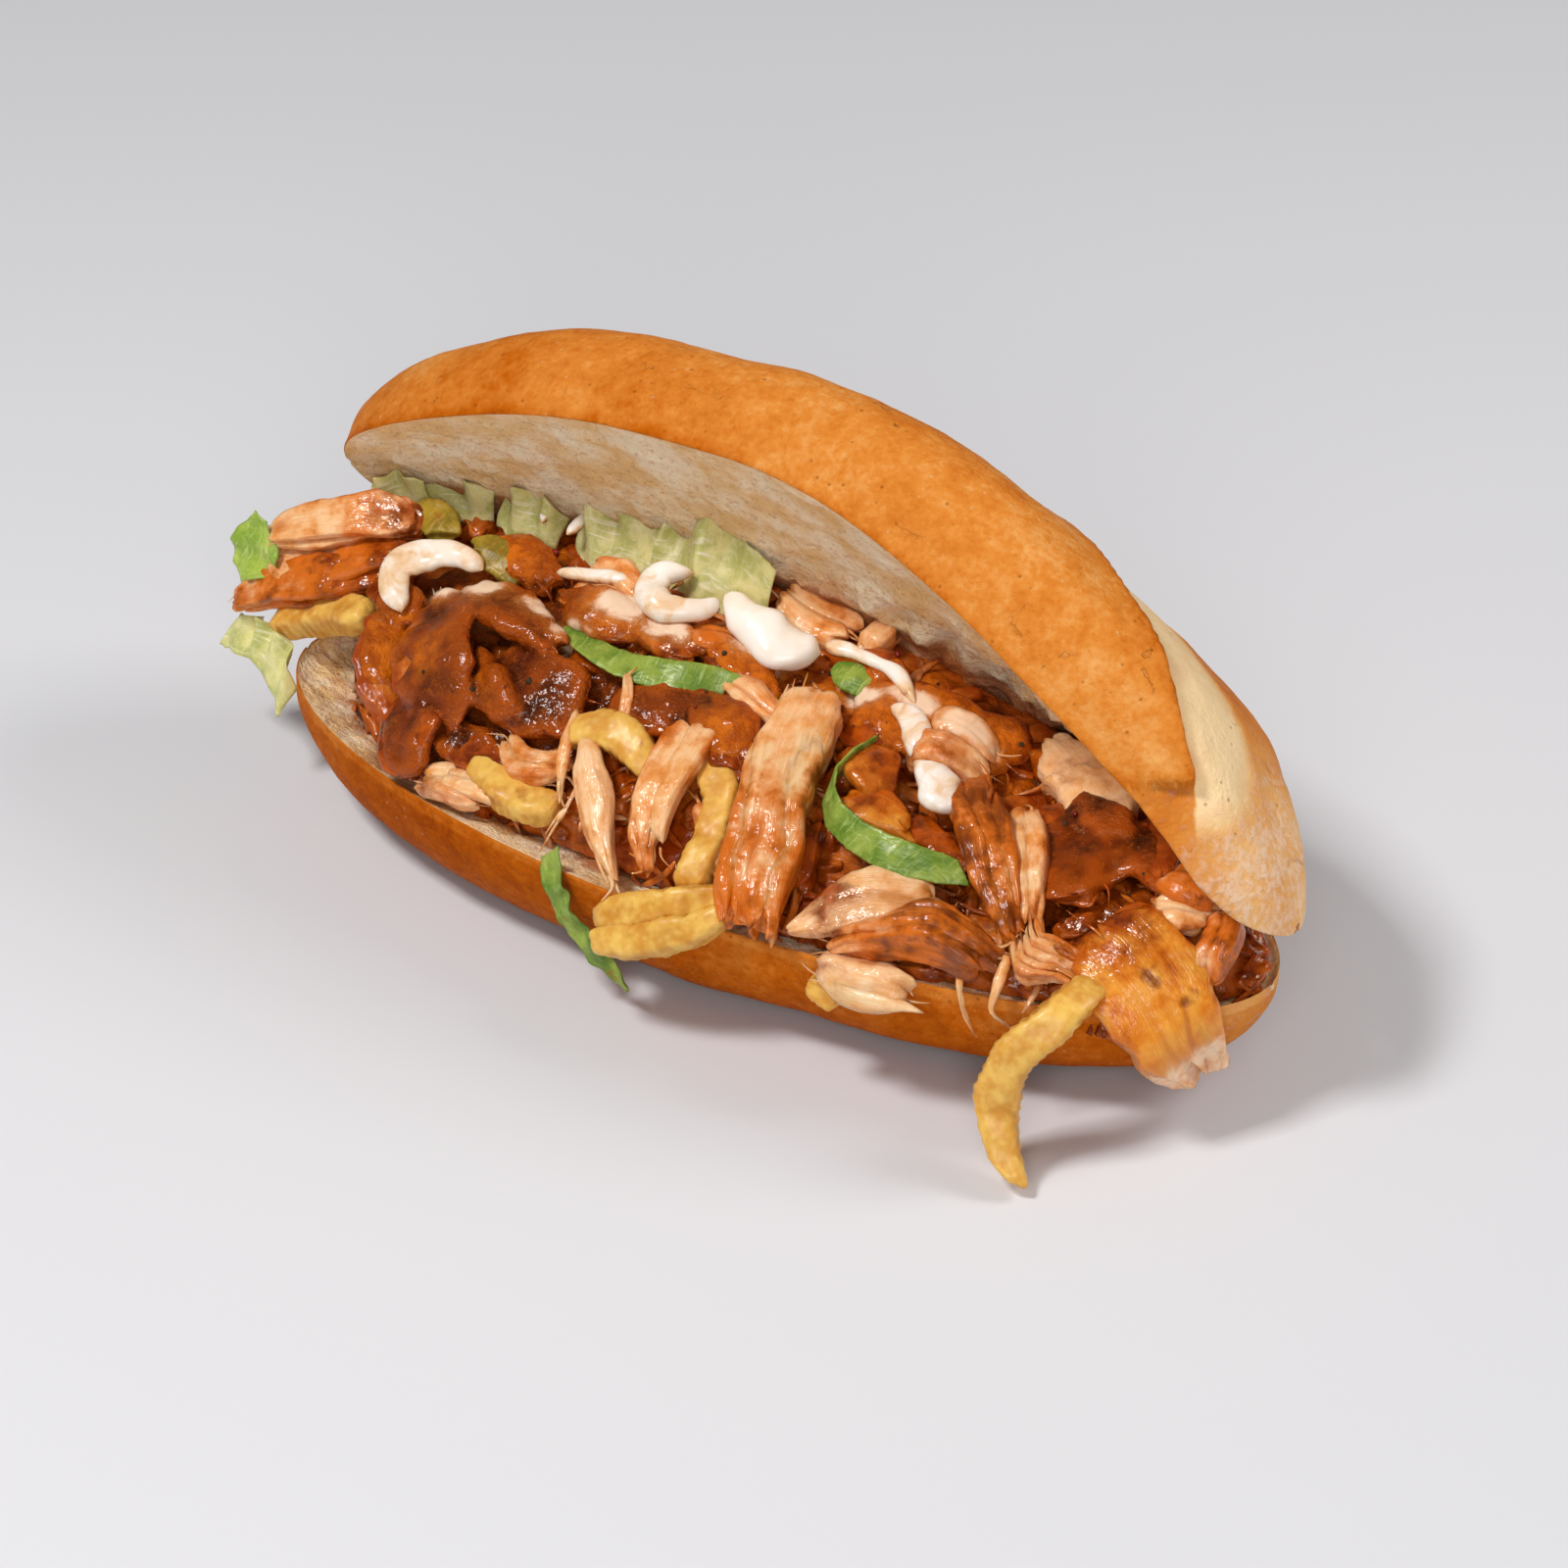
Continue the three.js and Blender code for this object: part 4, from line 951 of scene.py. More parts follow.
def ring_body(low, high, rows, power, relief, ragged, seed, pitch, uneven=0.16):
    """A closed body of rings along its length, from `low` to `high` millimetres.

    rows(share) gives left, right, bottom and top in millimetres, and relief(u, s, around) how far the surface
    stands out and how deep in a groove it is. power is how square the rings are, and ragged how uneven each
    end is. Returns places in the piece, faces and grooves."""
    length = high - low
    share = np.linspace(0, 1, max(int(length / (pitch * 1.7)), 6))
    left, right, bottom, top = (np.asarray(v) + 0 * share for v in rows(share))
    wide, tall = (right - left) / 2, (top - bottom) / 2
    beside = np.stack([low + share * length, 0 * share, 0 * share], -1)
    left = left + wide * uneven * layered(beside, 9, 3, seed + 71)
    right = right + wide * uneven * layered(beside, 9, 3, seed + 72)
    wide = (right - left) / 2
    angle = np.linspace(0, 2 * np.pi, 721)
    ca, cb = (np.sign(c) * np.abs(c) ** (2 / power) for c in (np.cos(angle), np.sin(angle)))
    run = np.concatenate([[0], np.cumsum(np.hypot(np.diff(ca) * wide.mean(), np.diff(cb) * tall.mean()))])
    around = run[-1]
    size = max(int(around / pitch), 12)
    u = np.linspace(0, around, size, endpoint=False)
    ca, cb = np.interp(u, run, ca), np.interp(u, run, cb)
    lean = [np.abs(c) ** (power - 1) * np.sign(c) / reach.mean() for c, reach in ((ca, wide), (cb, tall))]
    outward = unit(np.stack(lean, -1))
    uu, ss = np.broadcast_arrays(u[None, :], low + share[:, None] * length)
    stand, groove = (v.reshape(uu.shape) for v in relief(uu.ravel(), ss.ravel(), around))
    a = ((left + right) / 2)[:, None] + wide[:, None] * ca + stand * outward[:, 0]
    b = ((bottom + top) / 2)[:, None] + tall[:, None] * cb + stand * outward[:, 1]
    rim = np.stack([0 * u, wide.mean() * ca, tall.mean() * cb], -1)
    early, late = (1.5 * lumps(rim, 3.0, seed + k) for k in (91, 92))
    s = ss + ragged[0] * early * (1 - share[:, None]) ** 4 + ragged[1] * late * share[:, None] ** 4
    rings = np.stack([s, a, b], -1)
    # Both ends bulge a little, over two smaller rings.
    caps = []
    for ring, side in ((rings[0], -1), (rings[-1], 1)):
        centre = ring.mean(0)
        for scale in (0.8, 0.45):
            inner = centre + (ring - centre) * scale
            dents = 0.25 * lumps(inner * [0, 1, 1] + seed, 1.4, seed)
            inner[:, 0] += side * tall.mean() * 0.25 * (1 - scale) + dents
            caps.append(inner)
    stack = np.stack([caps[1], caps[0], *rings, caps[2], caps[3]])
    points = np.concatenate([stack.reshape(-1, 3), [stack[0].mean(0), stack[-1].mean(0)]])
    ends = [groove[:1] * 0 + 0.35, groove[:1] * 0 + 0.2]
    groove = np.concatenate([*ends, groove, *ends[::-1]]).ravel()
    return points, loft_faces(len(stack), size), np.concatenate([groove, [0.3, 0.3]])


def wrapped(u, s, around):
    """Places on a round bar that is `around` millimetres about, so that a pattern on it closes on itself."""
    turn = 2 * np.pi * u / around
    return np.stack([around / 6.3 * np.cos(turn), around / 6.3 * np.sin(turn), s], -1)


def meat_relief(cord, depth, seed):
    """Muscle that parted along its length: broad bundles, cracks between some of them, and fine fibres."""

    def relief(u, s, around):
        ring = wrapped(u, s, around)
        bent = ring + 1.4 * lumps(ring * [1, 1, 0.7], 13, seed)[:, None] * [1, 1, 0]
        broad = lumps(bent * [1, 1, 0.13], cord, seed + 1)
        narrow = lumps(bent * [1, 1, 0.16], cord * 0.4, seed + 2)
        fine = lumps(bent * [1, 1, 0.1], 1.1, seed + 7)
        parted = smoothstep(-0.1, 0.5, lumps(ring * [1, 1, 0.5], 9, seed + 3))
        crack = smoothstep(0.25, 0.0, np.abs(broad)) * parted
        line = smoothstep(0.3, 0.0, np.abs(narrow)) * smoothstep(-0.2, 0.5, lumps(ring, 6, seed + 4))
        stand = depth * (0.5 * broad + 0.25 * narrow + 0.15 * fine - 0.7 * crack - 0.25 * line)
        stand = stand + depth * (0.55 * lumps(ring, 8, seed + 5) + 0.3 * lumps(ring, 3.6, seed + 6))
        return stand, np.clip(crack + 0.4 * line, 0, 1)

    return relief


def tube(line, radii, flat, sides=5, turn=0.0):
    """A closed strand along a line of points, as points and faces: flat is its height over its width."""
    ahead = unit(np.gradient(line, axis=0))
    across = unit(np.cross(ahead, [0.13, 0.31, 0.94]))
    out = np.cross(ahead, across)
    angle = np.linspace(0, 2 * np.pi, sides, endpoint=False) + turn
    wide, high = radii[:, None] * np.cos(angle), flat * radii[:, None] * np.sin(angle)
    rings = line[:, None, :] + across[:, None, :] * wide[..., None] + out[:, None, :] * high[..., None]
    return np.concatenate([rings.reshape(-1, 3), line[:1], line[-1:]]), loft_faces(len(line), sides)


def joined(parts):
    """Several bodies as one: points, faces and grooves."""
    points, faces, grooves, start = [], [], [], 0
    for p, f, g in parts:
        points.append(p)
        grooves.append(g)
        faces.extend([tuple(i + start for i in face) for face in f])
        start += len(p)
    return np.concatenate(points), faces, np.concatenate(grooves)


# A lobe of a piece. Where its middle lies across the piece, at its start and its end, and half its width are
# shares of the piece's own half width. low and high are from where to where it runs along the piece, and lift
# and thick are shares of the piece's thickness.
Lobe = namedtuple("Lobe", "start end half low high lift thick", defaults=(0.0, 1.0, 0.0, 1.0))


def lobes_of(count, random):
    """Lobes side by side, each a little different."""
    lobes = []
    for k in range(count):
        middle = (2 * k + 1) / count - 1 if count > 1 else 0.0
        half = 1.25 / count if count > 1 else 1.0
        lobes.append(Lobe(
            middle + random.uniform(-0.15, 0.15), middle + random.uniform(-0.15, 0.15),
            half * random.uniform(0.85, 1.15), random.uniform(0, 0.14), 1 - random.uniform(0, 0.14),
            random.uniform(-0.25, 0.25), random.uniform(0.75, 1.0)))
    return lobes


def lobe_rows(spine, lobe, margin, blunt, keep, wide=1.0, thick=1.0, shape=1.0):
    """How wide and thick one lobe is along its length. Its ends are rounded: `blunt` is how late that begins
    and `keep` how much is left at the tip. The piece's sizes are read no nearer to its ends than `margin`."""

    def rows(share):
        whole = lobe.low + share * (lobe.high - lobe.low)
        left, right, bottom, top = spine.sizes(np.clip(whole, margin, 1 - margin))
        rounding = (1 - np.abs(2 * share - 1) ** blunt) ** 0.5 * (1 - keep) + keep
        middle = (left + right) / 2 + spread((lobe.start, lobe.end), share) * (right - left) / 2
        half = lobe.half * (right - left) / 2 * wide * spread(shape, whole) * rounding
        centre = (top + bottom) / 2 + lobe.lift * (top - bottom) / 2
        tall = (top - bottom) / 2 * lobe.thick * thick * rounding
        return middle - half, middle + half, centre - tall, centre + tall

    return rows


def loose_threads(spine, count, random):
    """Threads that stand off a piece's torn ends, most of them at its far end."""
    parts = []
    for _ in range(count):
        at_end = random.random() < 0.65
        share = random.uniform(0.8, 0.98) if at_end else random.uniform(0.0, 0.15)
        left, right, bottom, top = (float(v) for v in spine.sizes(share))
        start = spine.start + share * spine.length
        long = random.uniform(3, 8) * (1 if at_end else -1)
        t = np.linspace(-0.5, 1, 9)
        across, out = random.uniform(left, right) * 0.8, random.uniform(bottom, top) * 0.8
        sway = random.uniform(-3.5, 3.5, 2)
        bent = np.maximum(t, 0) ** 2
        line = np.stack([start + long * t, across + sway[0] * bent, out + sway[1] * bent], -1)
        points, faces = tube(line, random.uniform(0.35, 0.75) * (1 - 0.75 * np.maximum(t, 0)), 0.7)
        parts.append((points, faces, np.full(len(points), 0.4)))
    return parts


def torn_chicken(name, seed, lobes=2, cord=3.0, depth=1.0, power=3.2, ragged=(1.0, 2.5), glaze=0.3, char=0.1,
                 sauce=0.1, twist=0.0, threads=6, wide=1.08, thick=1.1, shape=1.0, material=CHICKEN,
                 slot="chicken", laid=None, uneven=0.16, spots=(), pale_end=0.0):
    """Pulled or sliced meat: lobes with grooves along their fibres, and loose threads at the torn ends.

    cord is the width of a bundle of fibres and depth that of the grooves, in millimetres. Some values may
    change along the piece: glaze, char, sauce, twist in degrees, and shape, which scales its width. laid is
    a line on the slope, widths and a thickness, for a piece that doesn't follow its CAD node. spots are burnt
    places, as share along, millimetres across and radius, and pale_end is how pale its far end is."""
    random = np.random.default_rng(seed)
    spine = Laid(*laid) if laid else Spine(name)
    if isinstance(lobes, int):
        lobes = lobes_of(lobes, random)
    parts = []
    for number, lobe in enumerate(lobes):
        low, high = (spine.start + share * spine.length for share in (lobe.low, lobe.high))
        rows = lobe_rows(spine, lobe, 0.07, 9, 0.65, wide, thick, shape)
        relief = meat_relief(cord, depth, seed + 31 * number)
        parts.append(ring_body(low, high, rows, power, relief, ragged, seed + number, MEAT_PITCH, uneven))
    local, faces, groove = joined(parts + loose_threads(spine, threads, random))
    points = spine.world(local, twist)
    along_only = local * [1, 0, 0]
    points = points + np.stack([lumps(along_only, 13, seed + k) for k in (61, 62, 63)], -1) * 0.9
    piece = mesh_object(name + "_meat", points, faces, (material,))
    share = (local[:, 0] - spine.start) / spine.length
    set_values(piece, "grain", local)
    set_values(piece, "groove", np.clip(groove, 0, 1))
    rim = smoothstep(0.5, 1.0, np.abs(local[:, 1]) / np.abs(local[:, 1]).max())
    shine = spread(glaze, share) + 0.4 * rim * (0.6 + 0.8 * lumps(points, 12, seed + 9))
    set_values(piece, "glaze", np.clip(shine + 0.3 * lumps(points, 10, seed + 4), 0, 1))
    char = spread(char, share) + 0.25 * lumps(points, 9, seed + 5)
    for along, across, radius in spots:
        away = np.hypot(local[:, 0] - spine.start - along * spine.length, local[:, 1] - across)
        char = np.maximum(char, 0.85 * smoothstep(2.2 * radius, 0, away + 1.5 * lumps(points, 4, seed)))
    set_values(piece, "char", np.clip(char, 0, 1.4))
    smear = patches(*on_slope(points), CREAM)
    set_values(piece, "cream", np.maximum(smear, pale_end * smoothstep(0.66, 0.95, share)))
    set_values(piece, "sauce", np.clip(spread(sauce, share) + 0.25 * lumps(points, 12, seed + 6), 0, 1))
    return finished(piece, name)


def chip(node, seed, sauce=0.1, lobes=(Lobe(0, 0, 1.0),)):
    """A square-cut chip: a blunt bar with shallow dents, a blistered skin and a crinkle along its edges."""
    spine = Spine(node)
    parts = []
    for number, lobe in enumerate(lobes):

        def relief(u, s, around, seed=seed + 9 * number):
            place = wrapped(u, s, around)
            turn = 2 * np.pi * u / around
            period = round(around / 1.8)
            blister = 0.5 - nearest_dot(u / around * period, s / 1.9, seed, period)
            crinkle = np.abs(np.cos(turn)) ** 4 * np.sin(2 * np.pi * s / 2.6 + 1.2 * np.sin(s / 5))
            dents = 0.5 * lumps(place, 6, seed) + 0.35 * lumps(place, 3, seed + 1)
            stand = dents + 0.16 * blister + 0.3 * crinkle
            return stand, smoothstep(0.0, -0.6, stand)

        low, high = (spine.start + share * spine.length for share in (lobe.low, lobe.high))
        rows = lobe_rows(spine, lobe, 0.08, 10, 0.6)
        parts.append(ring_body(low, high, rows, 4.2, relief, (0.4, 0.4), seed + number, MEAT_PITCH))
    local, faces, groove = joined(parts)
    points = spine.world(local)
    piece = mesh_object(node + "_potato", points, faces, (POTATO,))
    set_values(piece, "grain", local)
    set_values(piece, "groove", groove)
    share = (local[:, 0] - spine.start) / spine.length
    set_values(piece, "sauce", np.clip(spread(sauce, share) + 0.25 * lumps(points, 10, seed + 3), 0, 1))
    return finished(piece, node)


def ribbon(node, seed, material, slot, ruffle, sauce):
    """A ribbon cut across a leaf: the thin CAD sheet, ruffled across its length, with a darker cut rim."""
    spine = Spine(node)
    piece = remeshed(node_copy(node + "_leaf", node), LEAF_VOXEL)
    relaxed(piece, 4)
    points = points_of(piece)
    normals = averaged(piece, normals_of(piece), 6)
    grain = spine.grain(points)
    wave = ruffle * lumps(points, 6, seed) + 0.4 * ruffle * lumps(points, 2.8, seed + 1)
    sway = 0.5 * ruffle * lumps(points, 5, seed + 2)
    points = points + spine.out * wave[:, None] + spine.across * sway[:, None]
    move_points(piece, points)
    give(piece, material)
    set_values(piece, "grain", grain)
    sharp = 1 - np.linalg.norm(normals, axis=1)
    set_values(piece, "rim", smoothstep(0.25, 0.7, sharp))
    set_values(piece, "sauce", np.clip(sauce + 0.25 * lumps(points, 10, seed + 3), 0, 1))
    return finished(piece, node)


def crisp_leaf(node, seed, material, slot, folds=3.0, depth=2.4, frill=1.5, sauce=0.1, wide=1.1):
    """A crumpled piece of leaf: one thin sheet, folded along its ribs, with a frilled and torn outer edge."""
    spine = Spine(node)
    rows, cols = int(spine.length / 0.7), 26
    share = np.linspace(0, 1, rows)
    left, right, bottom, top = spine.sizes(share)
    across = np.linspace(-1, 1, cols)[None, :]
    s = spine.start + share[:, None] * spine.length
    flat = np.stack(np.broadcast_arrays(s, 0 * s, 3.0 * across), -1).reshape(-1, 3)
    line = flat * [1, 0, 0]

    def swell(places, size, number):
        return lumps(places, size, seed + number).reshape(rows, cols)

    torn = 0.25 * swell(line, 8, 8) + 0.12 * swell(line, 2.6, 0)
    middle, half = ((left + right) / 2)[:, None], ((right - left) / 2)[:, None] * wide
    a = middle + half * across * (1 + torn * across**2)
    phase = 2 * np.pi * folds * share[:, None] + 4.5 * swell(line, 14, 5)
    swing = depth * (0.9 + 0.9 * swell(line, 9, 6))
    b = ((bottom + top) / 2)[:, None] + swing * np.sin(phase + 0.9 * across) * (0.5 + 0.5 * across)
    b = b + 0.5 * depth * across + 0.4 * swell(flat, 4, 2)
    b = b + frill * np.abs(across) ** 3 * swell(flat + 7, 2.6, 1)
    sheet = np.stack(np.broadcast_arrays(s + 1.2 * swell(flat, 6, 3), a, b), -1)
    normal = unit(np.cross(np.gradient(sheet, axis=0), np.gradient(sheet, axis=1)))
    inside = (1 - np.abs(across) ** 12) * np.minimum(1, np.minimum(share, 1 - share)[:, None] * 30)
    offset = normal * (LEAF_THICK / 2 * (0.25 + 0.75 * inside))[..., None]
    sheets = np.concatenate([(sheet + offset).reshape(-1, 3), (sheet - offset).reshape(-1, 3)])
    size = rows * cols
    i = np.arange(rows - 1)[:, None] * cols
    j = np.arange(cols - 1)[None, :]
    upper = np.stack([i + j, i + cols + j, i + cols + j + 1, i + j + 1], -1).reshape(-1, 4)
    lower = upper[:, ::-1] + size
    border = [r * cols for r in range(rows)] + [(rows - 1) * cols + c for c in range(1, cols)]
    border += [r * cols + cols - 1 for r in range(rows - 2, -1, -1)] + list(range(cols - 2, 0, -1))
    rim = [(b, a, a + size, b + size) for a, b in zip([border[-1], *border], border)]
    faces = upper.tolist() + lower.tolist() + rim
    piece = mesh_object(node + "_leaf", spine.world(sheets), faces, (material,))
    fix = bmesh.new()
    fix.from_mesh(piece.data)
    bmesh.ops.recalc_face_normals(fix, faces=fix.faces)
    fix.to_mesh(piece.data)
    fix.free()
    side = np.concatenate([np.abs(np.broadcast_to(across, (rows, cols))).ravel()] * 2)
    set_values(piece, "grain", np.concatenate([flat * [1, 1, 2.5]] * 2)[:, [2, 0, 1]])
    set_values(piece, "rim", smoothstep(0.9, 1.0, side))
    set_values(piece, "sauce", np.clip(sauce + 0.25 * lumps(points_of(piece), 8, seed + 4), 0, 1))
    return finished(piece, node)


def squeezed_mayo(name, seed, route, wide, thick, sauce=0.0):
    """A rope or drop of mayonnaise: round and smooth, thicker here and thinner there, with tapered ends."""
    laid = Laid(route, wide, thick)

    def rows(share):
        ends = (1 - np.abs(2 * share - 1) ** 7) ** 0.5 * 0.9 + 0.1
        return [limit * ends for limit in laid.sizes(share)]

    def relief(u, s, around):
        place = wrapped(u, s, around)
        return min(thick / 6, 1) * (0.9 * lumps(place, 7, seed) + 0.4 * lumps(place, 3.5, seed + 1)), 0 * s

    local, faces, _ = ring_body(laid.start, laid.end, rows, 2.3, relief, (0, 0), seed, MEAT_PITCH, 0.45)
    points = laid.world(local)
    piece = mesh_object(name + "_mayonnaise", points, faces, (MAYO,))
    relaxed(piece, 4)
    # Sauce tints its underside, and the edges and ends of a thin smear.
    across, out = np.abs(local[:, 1]) / laid.half.max(), local[:, 2] / laid.tall.max()
    ends = np.abs(local[:, 0]) / laid.end
    thin_edge = 0.5 * smoothstep(0.4, 1.0, across) + 0.6 * smoothstep(0.5, 1.0, ends)
    foot = smoothstep(6.0, 2.5, thick) * thin_edge + 0.7 * smoothstep(0.3, -0.6, out)
    set_values(piece, "sauce", np.clip(sauce + foot + 0.3 * lumps(points, 8, seed + 1), 0, 1))
    return finished(piece, name)


CHICKEN_PIECES = {
    "chicken_large": dict(
        lobes=[Lobe(0.08, 0.0, 0.86, 0.0, 0.97, 0.0, 1.0), Lobe(-0.6, -0.95, 0.4, 0.25, 0.93, -0.1, 0.85),
               Lobe(0.5, 0.72, 0.4, 0.2, 1.0, 0.2, 0.8)],
        cord=4.4, depth=0.85, power=4.0, ragged=(0.8, 3.6), glaze=(-0.9, -0.3, 0.2, 0.4, 0.6, 0.9),
        char=(0, 0.1, 0.3, 0.2, 0.2, 0.5), twist=(4, -4), threads=8),
    "chicken_upright": dict(
        lobes=[Lobe(-0.15, -0.2, 0.9, 0.0, 1.0, -0.1, 0.7), Lobe(0.35, 0.5, 0.5, 0.0, 0.8, 0.3, 0.6)],
        cord=3.4, depth=0.7, power=4.0, ragged=(2.5, 1.2), glaze=(0.6, 0.2, 0.1, 0.4), char=(0.2, 0.0, 0.1),
        sauce=(0.7, 0.1, -0.2, 0.0), shape=(1.15, 1.15, 0.95, 0.75, 0.6), threads=5),
    "chicken_pointed": dict(
        lobes=1, cord=3.2, depth=0.5, power=2.3, ragged=(1.2, 0.6), glaze=(0.25, 0.0, 0.1), char=0.0,
        shape=(0.5, 1.0, 1.0, 0.6, 0.2), threads=5, material=BREAST),
    "chicken_charred": dict(
        lobes=[Lobe(-0.45, -0.35, 0.45, 0.05, 1.0, 0.2), Lobe(0.2, 0.1, 0.55, 0.0, 0.95, -0.1),
               Lobe(0.7, 0.6, 0.3, 0.15, 0.85, 0.1, 0.7)],
        cord=2.6, depth=1.0, ragged=(4.0, 1.5), glaze=(0.9, 0.8, 0.8, 0.9), char=(0.8, 0.95, 0.7, 0.7),
        twist=(-15, 20), threads=8),
    "chicken_pale_strip": dict(
        lobes=2, cord=2.6, depth=0.6, ragged=(0.8, 2.5), glaze=(0.1, 0.2, 0.4), char=(0.1, 0.2, 0.3),
        threads=5),
    "chicken_layered": dict(
        lobes=[Lobe(-0.6, -0.5, 0.4, 0.0, 0.9, 0.1), Lobe(-0.1, 0.0, 0.4, 0.05, 1.0, 0.35),
               Lobe(0.45, 0.5, 0.4, 0.1, 0.97), Lobe(0.85, 0.8, 0.25, 0.2, 0.9, -0.2)],
        cord=2.4, depth=1.0, ragged=(3.0, 3.0), glaze=(0.5, 0.8, 1.0, 1.0), char=(0.4, 0.6, 0.8), threads=8),
    "chicken_wedge": dict(
        lobes=1, cord=5.0, depth=0.35, power=4.0, ragged=(0.6, 1.5), glaze=(0.0, 0.3, 0.1, 0.3), char=0.0,
        sauce=(0.1, 0.5, 0.2, 0.3), shape=(0.15, 0.8, 1.15, 1.2, 1.1), thick=0.8, threads=2,
        material=BREAST),
    "chicken_white": dict(
        lobes=[Lobe(0.0, 0.0, 0.95, 0.0, 0.95), Lobe(-0.5, -0.6, 0.45, 0.2, 1.0, 0.5, 0.6)],
        cord=3.6, depth=0.8, power=4.2, ragged=(2.5, 4.0), glaze=(0.2, -0.2, -0.2), char=0.0,
        sauce=(0.3, 0.1, 0.2), threads=4, material=BREAST),
    "chicken_chunk": dict(
        lobes=2, cord=3.0, depth=0.8, power=3.4, ragged=(1.5, 1.5), glaze=(0.3, 0.0), char=0.0, sauce=0.35,
        threads=4),
    "chicken_frayed": dict(
        lobes=5, cord=1.8, depth=0.8, ragged=(3.0, 4.0), glaze=(0.2, 0.35, 0.4), char=0.15, sauce=0.1,
        threads=22),
    "chicken_rolled": dict(
        lobes=2, cord=3.0, depth=0.8, ragged=(1.0, 1.0), glaze=(0.6, 0.8), char=0.3, sauce=0.3, threads=2),
    "chicken_curved": dict(
        lobes=2, cord=3.0, depth=0.8, ragged=(1.0, 1.0), glaze=(0.6, 0.8), char=0.4, sauce=0.3, threads=2),
    "chicken_under_lid": dict(
        lobes=2, cord=3.4, depth=0.6, power=3.4, ragged=(1.0, 2.0), glaze=(0.2, 0.1, 0.3), char=(0.1, 0.25),
        threads=3),
    "chicken_stick": dict(
        lobes=1, cord=2.4, depth=0.5, power=3.4, ragged=(0.8, 0.8), glaze=0.1, char=0.05, threads=3),
    "chicken_curled": dict(
        lobes=2, cord=2.6, depth=0.7, ragged=(1.5, 1.5), glaze=0.4, char=0.15, sauce=0.3, threads=5),
    "chicken_rim_left": dict(
        lobes=2, cord=2.6, depth=0.7, ragged=(1.5, 2.5), glaze=0.2, char=0.05, sauce=0.25, threads=5),
    "chicken_slab": dict(
        lobes=1, cord=9.0, depth=0.4, power=5.0, ragged=(1.2, 4.0), glaze=(0.7, 0.3, 0.1, -0.1), char=0.05,
        uneven=0.08, sauce=(1.0, 0.4, -0.2, -0.3), material=OILED, threads=4,
        shape=(1.1, 1.1, 1.1, 1.2, 1.3), pale_end=0.9, spots=((0.42, 1, 3.0), (0.62, 6, 3.0))),
    "chicken_end_upper": dict(
        lobes=[Lobe(0.0, 0.05, 0.95, 0.0, 1.0, -0.5, 0.42), Lobe(0.1, 0.0, 0.85, 0.04, 0.96, 0.42, 0.42)],
        cord=5.0, depth=0.5, power=5.5, uneven=0.2, ragged=(0.8, 1.0), glaze=(0.0, 0.2, 0.5),
        char=(0.15, 0.3, 0.3), sauce=(0.0, 0.2, 0.7), threads=3),
    "chicken_end_lower": dict(
        lobes=[Lobe(0.0, 0.0, 0.95, 0.05, 1.0, -0.62, 0.34), Lobe(0.1, 0.05, 0.9, 0.0, 0.98, 0.0, 0.34),
               Lobe(-0.1, 0.0, 0.8, 0.03, 0.95, 0.6, 0.34)],
        cord=4.5, depth=0.5, power=5.5, uneven=0.2, ragged=(0.8, 1.0), glaze=(0.7, 0.9, 1.0),
        char=(0.3, 0.4, 0.5), sauce=(0.15, 0.5, 0.9), threads=3),
}
SAUCED_SLAB = dict(lobes=1, cord=3.8, depth=0.8, power=4.2, ragged=(3.0, 3.0), glaze=0.7, threads=3,
                   material=SAUCED, slot="sauced_chicken", uneven=0.4)
